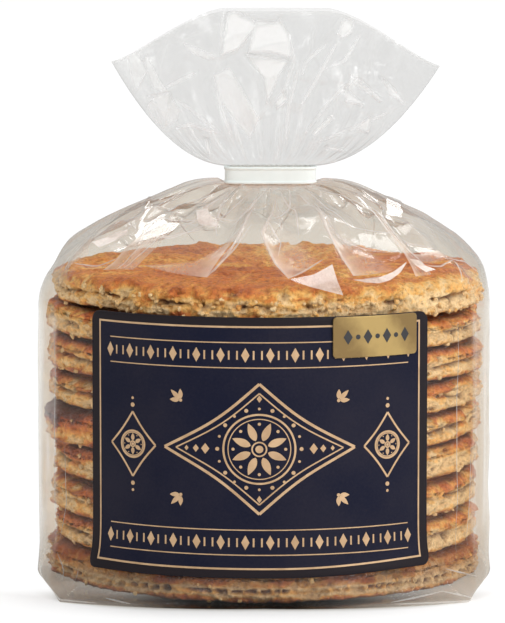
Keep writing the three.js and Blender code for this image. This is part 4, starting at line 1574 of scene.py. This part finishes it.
base = add_base()
base_creases = add_base_creases()

# %% [markdown]
# ## The label
#
# The label is coated paper, glued to the outside of the film, so it bends round the wall but has none of
# the film's folds. Dark blue ink on smooth paper mirrors a little, softly. The sheet is a thin plate with
# rounded corners. It carries one number, `border`, which says how far a place lies outside the frame line,
# because the paper is darker there.

# %% Paper and print materials
def paper_material():
    material, tree = new_material("label_paper")
    fibres = noise_at(tree, 0.5, detail=4)
    clouds = noise_at(tree, 18, detail=2)
    mixed = maths(tree, "ADD", maths(tree, "MULTIPLY", fibres, 0.35), maths(tree, "MULTIPLY", clouds, 0.65))
    blue = ramp(tree, mixed, [(0.38, paint(17, 20, 40)), (0.62, paint(31, 30, 44))])
    outside = ramp(tree, value_of(tree, "border"), [(0.49, grey(0)), (0.51, grey(1))])
    shader = add_node(tree, "ShaderNodeBsdfPrincipled", Roughness=0.5, Specular_IOR_Level=0.1)
    feed(tree, shader.inputs["Base Color"], mix_colours(tree, outside, blue, paint(34, 29, 33)))
    feed(tree, shader.inputs["Normal"], bumps(tree, fibres, 0.08, 0.0002))
    return finish_material(material, tree, shader.outputs[0])


def gold_material(name, light, dark, roughness, metallic, painted_sheen=False):
    """Ink or paper with a fine grain. For the sticker's gold paper, soft slanting lines of painted sheen are
    mixed into its colour as well.
    """
    material, tree = new_material(name)
    grain_and_sheen = noise_at(tree, 3.0, detail=4)
    if painted_sheen:
        # Painted sheen: slanting bands of lighter gold in the colour.
        waves = add_node(tree, "ShaderNodeTexWave", bands_direction="DIAGONAL", Scale=26.0, Distortion=1.5,
                         Detail=1.0)
        feed(tree, waves.inputs["Vector"], own_place(tree))
        lines = maths(tree, "MULTIPLY", waves.outputs["Fac"], 0.5)
        grain_and_sheen = maths(tree, "ADD", maths(tree, "MULTIPLY", grain_and_sheen, 0.5), lines)
    shader = add_node(tree, "ShaderNodeBsdfPrincipled", Roughness=roughness, Metallic=metallic)
    feed(tree, shader.inputs["Base Color"], ramp(tree, grain_and_sheen, [(0.3, dark), (0.7, light)]))
    feed(tree, shader.inputs["Normal"], bumps(tree, noise_at(tree, 0.3), 0.1, 0.0001))
    return finish_material(material, tree, shader.outputs[0])


label_paper = paper_material()
gold_print = gold_material("gold_print", paint(204, 170, 132), paint(180, 146, 110), 0.45, 0.25)
sticker_gold = gold_material("sticker_gold", paint(172, 144, 86), paint(126, 100, 54), 0.42, 0.3, painted_sheen=True)
sticker_ink = gold_material("sticker_ink", paint(40, 38, 40), paint(30, 30, 34), 0.5, 0.0)

# %% Plates that follow the wall
side_inset, end_inset = 2.4, 1.9


def on_wall(along, z, lift):
    """A place on the wall, `along` millimetres round from the middle of the front, `lift` off the film."""
    return wall(np.asarray(along, float) / (body_half_depth + 0.3), np.asarray(z, float), lift)


def plate_grid(left, right, bottom, top, corner):
    """How far along and how high each point of a plate with rounded corners is. `bottom` may vary."""
    middle, half = (left + right) / 2, (right - left) / 2
    bend = half - corner + corner * np.sin(np.linspace(0, math.pi / 2, 9)[1:])
    stations = np.concatenate([-bend[::-1], np.linspace(-(half - corner), half - corner, 90), bend])
    into_corner = np.clip(np.abs(stations) - half + corner, 0, None)
    cut = corner - np.sqrt(np.clip(corner ** 2 - into_corner ** 2, 0, None))
    share = np.linspace(0, 1, 60)[:, None]
    z = (bottom(middle + stations) + cut) * (1 - share) + (top - cut) * share
    return np.broadcast_to(middle + stations, z.shape), z


def plate_faces(rows, columns):
    """Front, rear and sides of a plate of three layers. Its rim runs once round the grid."""
    size = rows * columns
    rim = np.concatenate([np.arange(columns), np.arange(1, rows) * columns + columns - 1,
                          (rows - 1) * columns + np.arange(columns - 2, -1, -1),
                          np.arange(rows - 2, 0, -1) * columns])
    following = np.roll(rim, -1)
    side = np.stack([rim, following, following + size, rim + size], -1)
    return np.concatenate([grid_faces(rows, columns, start=2 * size), grid_faces(rows, columns)[:, ::-1],
                           side, side + size])


def add_plate(name, left, right, bottom, top, corner, lift, material, trim=lambda along: 0 * along):
    """A thin sheet, bent round the wall, with real edges. `trim` is what is cut off its bottom edge."""
    thickness, bevel, inset = 0.3, 0.05, 0.06
    along, z = plate_grid(left, right, lambda place: bottom + trim(place), top, corner)
    to_frame = np.minimum(np.minimum(along - left, right - along) / side_inset,
                          np.minimum(z - (bottom + trim(along)), top - z) / end_inset)
    outside = np.clip(1 - 0.5 * to_frame, 0, 1)
    x, height = (left + right) / 2, (bottom + top) / 2
    layers = []
    for level, shrink in [(lift, 0), (lift + thickness - bevel, 0), (lift + thickness, inset)]:
        pulled = x + (along - x) * (1 - shrink / ((right - left) / 2))
        layers.append(on_wall(pulled, height + (z - height) * (1 - shrink / (top - bottom) * 2), level))
    faces = plate_faces(*z.shape)
    # The layer in between is needed along its edge only, so points that no face uses are left out.
    used, renumbered = np.unique(faces, return_inverse=True)
    return add_piece(name, np.reshape(layers, (-1, 3))[used], renumbered.reshape(faces.shape), material,
                     {"border": np.tile(outside.ravel(), 3)[used]})


def label_trim(along):
    """The bottom edge of the label is cut a little askew."""
    return 0.35 + 0.85 * smoothstep(along, 4, 35) + 0.2 * smoothstep(-along, 20, 38)


label = add_plate("label_sheet", label_left, label_right, label_bottom, label_top, 2.2, 0.3, label_paper,
                  label_trim)
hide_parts("label")

# %% [markdown]
# ## The gold print
#
# The print is a plain ornament of the kind that has decorated bakery labels for ages: a thin frame line,
# bands of bars and small diamonds, a large lozenge with a rosette in it, and a smaller one to each side. On
# the real label it is ink. Here it is thin geometry just above the paper, because such an edge stays sharp
# at any distance. Each motif is a *stroke*, a line with a width, or a *patch*, a closed outline. Both are
# drawn flat, in millimetres along and up the label, and the whole drawing is then bent round the wall.

# %% Strokes and patches
def stroke(path, width, closed=False):
    """A line of ink. Each point of the path gets two, square to the line, half a width to each side."""
    path = np.asarray(path, float)
    forward = np.roll(path, -1, 0) - np.roll(path, 1, 0) if closed else np.gradient(path, axis=0)
    forward /= np.hypot(*forward.T)[:, None] + 1e-12
    square = np.stack([-forward[:, 1], forward[:, 0]], 1) * (width / 2)
    flat = np.stack([path + square, path - square], 1).reshape(-1, 2)
    first = np.arange(len(path) if closed else len(path) - 1)
    following = (first + 1) % len(path)
    return flat, np.stack([2 * first, 2 * first + 1, 2 * following + 1, 2 * following], -1)


def patch(edge):
    """A closed outline filled with ink. It fans out from the middle, so it suits outlines without bays."""
    edge = np.asarray(edge, float)
    if len(edge) % 2:
        edge = np.vstack([edge, (edge[-1] + edge[0]) / 2])
    count = len(edge)
    # Each four-sided face takes two steps of the edge.
    first = np.arange(0, count, 2)
    faces = np.stack([np.full(len(first), count), first, first + 1, (first + 2) % count], -1)
    return np.vstack([edge, edge.mean(0)]), faces


def at_angle(centre, angle, distance):
    return (centre[0] + distance * math.cos(angle), centre[1] + distance * math.sin(angle))


def circle(centre, radius, count):
    angle = np.linspace(0, 2 * math.pi, count, endpoint=False)
    return np.stack([centre[0] + radius * np.cos(angle), centre[1] + radius * np.sin(angle)], 1)


def diamond(centre, half_width, half_height):
    """Extra points along its straight sides let it bend round the wall."""
    x, z = centre
    corners = np.array([(x + half_width, z), (x, z + half_height), (x - half_width, z), (x, z - half_height)])
    share = np.arange(4)[:, None] / 4
    return np.concatenate([a * (1 - share) + b * share for a, b in zip(corners, np.roll(corners, -1, 0))])


def petal(centre, angle, start, length, width):
    """A pointed leaf that starts away from a centre."""
    share = np.linspace(0, 1, 15)
    half = width / 2 * np.sin(math.pi * share ** 0.8) ** 0.85
    out = start + length * share
    side = np.concatenate([half, -half[::-1][1:-1]])
    reach = np.concatenate([out, out[::-1][1:-1]])
    ca, sa = math.cos(angle), math.sin(angle)
    return np.stack([centre[0] + reach * ca - side * sa, centre[1] + reach * sa + side * ca], 1)


def add_print(name, shapes, lift, material):
    """Joins strokes and patches into one drawing and bends it round the wall."""
    starts = np.cumsum([0] + [len(flat) for flat, _ in shapes])
    flat = np.concatenate([flat for flat, _ in shapes])
    faces = np.concatenate([faces + start for (_, faces), start in zip(shapes, starts)])
    return add_piece(name, on_wall(flat[:, 0], flat[:, 1], lift), faces, material)


print("a petal has", len(petal((0, 0), 0, 1, 2, 1)), "points, a diamond", len(diamond((0, 0), 1, 1)))

# %% Motifs
def frame_line(width):
    """The thin line round the label. Its lower side follows the cut edge."""
    left, right, top = label_left + side_inset, label_right - side_inset, label_top - end_inset
    along = np.linspace(left - width / 2, right + width / 2, 90)
    shapes = [stroke(np.stack([along, label_bottom + label_trim(along) + end_inset], 1), width),
              stroke(np.stack([along, 0 * along + top], 1), width)]
    for x in (left, right):
        low = label_bottom + label_trim(x) + end_inset
        shapes.append(stroke([(x, low + (top - low) * k / 40) for k in range(41)], width))
    return shapes


def lozenge(centre, half_width, half_height, width, bow):
    """A diamond outline with slightly bowed-in sides."""
    corners = [(half_width, 0), (0, half_height), (-half_width, 0), (0, -half_height)]
    share = np.linspace(0, 1, 24)
    pull = 1 - bow * np.sin(math.pi * share)
    shapes = []
    for (ax, az), (bx, bz) in zip(corners, corners[1:] + corners[:1]):
        x = (ax + (bx - ax) * share) * pull + centre[0]
        z = (az + (bz - az) * share) * pull + centre[1]
        shapes.append(stroke(np.stack([x, z], 1), width))
    return shapes


def rosette(centre, radius, petals):
    """Two rings round a ring of petals, with dots between the tips."""
    shapes = [stroke(circle(centre, radius, 90), 0.4, closed=True),
              stroke(circle(centre, radius * 0.87, 90), 0.2, closed=True),
              stroke(circle(centre, radius * 0.2, 40), 0.3, closed=True),
              patch(circle(centre, radius * 0.11, 24))]
    for k in range(petals):
        angle = 2 * math.pi * (k + 0.5) / petals
        shapes.append(patch(petal(centre, angle, radius * 0.26, radius * 0.55, radius * 1.8 / petals)))
        dot = at_angle(centre, angle + math.pi / petals, radius * 0.73)
        shapes.append(patch(circle(dot, radius * 0.045, 12)))
    return shapes


def band(z, height):
    """A row of upright bars and diamonds between two thin lines, right across the label."""
    left, right, pitch = label_left + 5.2, label_right - 5.2, 1.62
    count = 3 * round((right - left) / pitch / 3)
    shapes = []
    for k in range(count + 1):
        x = left + (right - left) * k / count
        if k % 3 == 0:
            shapes.append(patch(diamond((x, z), pitch * 0.5, height / 2)))
        else:
            shapes.append(stroke([(x, z - height * 0.3), (x, z), (x, z + height * 0.3)], 0.34))
    for line in (z - height * 0.85, z + height * 0.85):
        shapes.append(stroke([(left + (right - left) * k / 60, line) for k in range(61)], 0.22))
    return shapes


print("a rosette of eight petals has", len(rosette((0, 0), 7.0, 8)), "strokes and patches")

# %% The ornament
def middle_motif(x, z):
    """The large lozenge, its rosette and a ring of dots."""
    shapes = lozenge((x, z), 19.0, 13.2, 0.55, 0.10) + lozenge((x, z), 16.6, 11.3, 0.28, 0.10)
    shapes += rosette((x, z), 7.0, 8)
    for k in range(20):
        dot = at_angle((x, z), math.pi / 10 * k, 8.2)
        shapes.append(patch(circle(dot, 0.28 if k % 2 else 0.4, 12)))
    return shapes


def side_motif(x, z, side):
    """To the left (-1) or right (1) of the middle: diamonds, a small lozenge, and leaves in the corners."""
    shapes = [patch(diamond((x + side * (10.6 + 1.9 * step), z), size * 0.75, size))
              for step, size in enumerate((1.1, 0.8, 0.55))]
    shapes.append(patch(diamond((x, z + side * 10.2), 0.5, 0.75)))
    small = (x + side * 26.2, z)
    shapes += lozenge(small, 5.2, 6.6, 0.4, 0.06) + rosette(small, 2.7, 6)
    for up in (-1, 1):
        shapes += [patch(circle((small[0], z + up * 8.0), 0.45, 16)),
                   patch(circle((small[0], z + up * 9.4), 0.3, 12))]
        corner = (x + side * 15.6, z + up * 9.6)
        for k in range(3):
            leaf = math.atan2(up, side) + (k - 1) * 0.75
            shapes.append(patch(petal(corner, leaf, 0.3, 2.6 if k == 1 else 2.0, 0.95)))
        shapes.append(patch(circle(corner, 0.34, 12)))
    return shapes


ornament = frame_line(0.38) + band(51.4, 3.0) + band(13.4, 3.0) + middle_motif(-1.0, 32.4)
for side in (-1, 1):
    ornament += side_motif(-1.0, 32.4, side)
label_print = add_print("label_print", ornament, 0.66, gold_print)

# %% [markdown]
# ## The gold sticker
#
# A smaller sticker of gold paper with a soft sheen overlaps the corner of the label; the sheen is painted
# into its colour as slanting lines. It is a plate like the label, laid on top of it, with a row of dark
# diamonds and dots as its print.

# %% Sticker
sticker = add_plate("sticker_sheet", sticker_left, sticker_right, sticker_bottom, sticker_top, 0.8, 0.9,
                    sticker_gold)
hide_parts("sticker")
row = []
for k in range(7):
    x = sticker_left + 3.0 + (sticker_right - sticker_left - 6.0) * k / 6
    place = (x, (sticker_bottom + sticker_top) / 2)
    row.append(patch(circle(place, 0.5, 20) if k % 2 else diamond(place, 0.95, 1.5)))
sticker_print = add_print("sticker_print", row, 1.24, sticker_ink)

# %% [markdown]
# ## The clip
#
# A flat band of white plastic with a thin lip along both edges. It is moulded, so every edge is slightly
# round. The section is swept round a squarish oval.

# %% Clip
# How far outside the gathered film, and how high.
clip_section = [
    (0.62, 82.0), (0.76, 82.06), (0.8, 82.2), (0.8, 82.42), (0.72, 82.56), (0.62, 82.66), (0.6, 82.8),
    (0.6, 84.8), (0.62, 84.94), (0.72, 85.04), (0.8, 85.18), (0.8, 85.4), (0.76, 85.54), (0.62, 85.6),
    (0.1, 85.6), (0.0, 85.5), (0.0, 82.1), (0.1, 82.0),
]


def clip_material():
    material, tree = new_material("clip_plastic")
    shader = add_node(tree, "ShaderNodeBsdfPrincipled", Roughness=0.32)
    cloudy = [(0.35, paint(230, 237, 234)), (0.7, paint(236, 243, 240))]
    feed(tree, shader.inputs["Base Color"], ramp(tree, noise_at(tree, 5, detail=2), cloudy))
    return finish_material(material, tree, shader.outputs[0])


def add_clip():
    rows, columns = len(clip_section), 200
    azimuth = np.linspace(0, 2 * math.pi, columns, endpoint=False)
    rings = []
    for out, z in clip_section:
        x, y = outline(azimuth, 9.0 + out, 2.3 + out, 4)
        rings.append(np.stack([x + clip_centre, y, np.full(columns, z)], -1))
    # The last ring joins the first one again.
    faces = grid_faces(rows + 1, columns, closed=True) % (rows * columns)
    return add_piece("clip", rings, faces, clip_material())


clip = add_clip()
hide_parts("neck_clip")

# %% [markdown]
# ## The floor
#
# The pack stands on a plain sheet of white paper. Its colour is darkened under and close round the stack,
# a painted shadow on top of the real soft shadows. To the camera it glows white further out, as white as
# the room, and the glow fades out towards the pack, which paints the soft edge of the shadow.

# %% Floor
# Distances from the middle of the pack in metres, along a rounded square like that of the foot.
# Painted shadow: the paper's colour darkens towards the foot of the pack.
painted_shade_under = [(0.0435, (0.20, 0.17, 0.15, 1)), (0.0475, (0.64, 0.62, 0.58, 1)), (0.0507, grey(1))]
# How much the paper glows white to the camera; rising from the pack outwards, it paints the edge of the
# shadow.
white_from = [(0.0475, 0.0), (0.0507, 0.2), (0.0539, 0.42), (0.057, 0.6), (0.0603, 0.75), (0.07, 0.96)]


def floor_material():
    material, tree = new_material("white_floor")
    grain = ramp(tree, noise_at(tree, 3, detail=2), [(0.3, grey(0.93)), (0.7, grey(0.95))])
    place = add_node(tree, "ShaderNodeSeparateXYZ")
    feed(tree, place.inputs[0], own_place(tree))
    squareness = 3.2
    powers = [maths(tree, "POWER", maths(tree, "ABSOLUTE", place.outputs[axis], 0), squareness)
              for axis in ("X", "Y")]
    reach = maths(tree, "POWER", maths(tree, "ADD", *powers), 1 / squareness)
    sheet = add_node(tree, "ShaderNodeBsdfDiffuse")
    shadowed = mix_colours(tree, 1.0, grain, ramp(tree, reach, painted_shade_under), "MULTIPLY")
    feed(tree, sheet.inputs["Color"], shadowed)
    away = ramp(tree, reach, [(distance, grey(white)) for distance, white in white_from])
    # Behind the front edge of the pack the paper is white as well. A ramp starts at 0, hence the shift.
    shifted = maths(tree, "ADD", place.outputs["Y"], 0.5)
    behind = ramp(tree, shifted, [(0.462, grey(0)), (0.474, grey(0.96))])
    to_camera = add_node(tree, "ShaderNodeLightPath").outputs["Is Camera Ray"]
    white = maths(tree, "MULTIPLY", maths(tree, "MAXIMUM", away, behind), to_camera)
    glow = add_node(tree, "ShaderNodeEmission", Color=grey(1), Strength=1.04)
    return finish_material(material, tree, blend_shaders(tree, white, sheet.outputs[0], glow.outputs[0]))


def add_floor():
    half_side, steps = 3.0, 12
    line = np.linspace(-half_side, half_side, steps)
    mesh = bpy.data.meshes.new("floor")
    mesh.from_pydata([(x, y, 0.0) for y in line for x in line], [], grid_faces(steps, steps).tolist())
    mesh.materials.append(floor_material())
    floor = bpy.data.objects.new("floor", mesh)
    bpy.context.scene.collection.objects.link(floor)


add_floor()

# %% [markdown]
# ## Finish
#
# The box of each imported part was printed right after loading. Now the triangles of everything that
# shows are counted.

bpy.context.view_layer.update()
shown = [piece for piece in bpy.data.objects
         if piece.type == "MESH" and piece.name != "floor" and not piece.hide_render]
print("triangles:", sum(len(polygon.vertices) - 2 for piece in shown for polygon in piece.data.polygons))
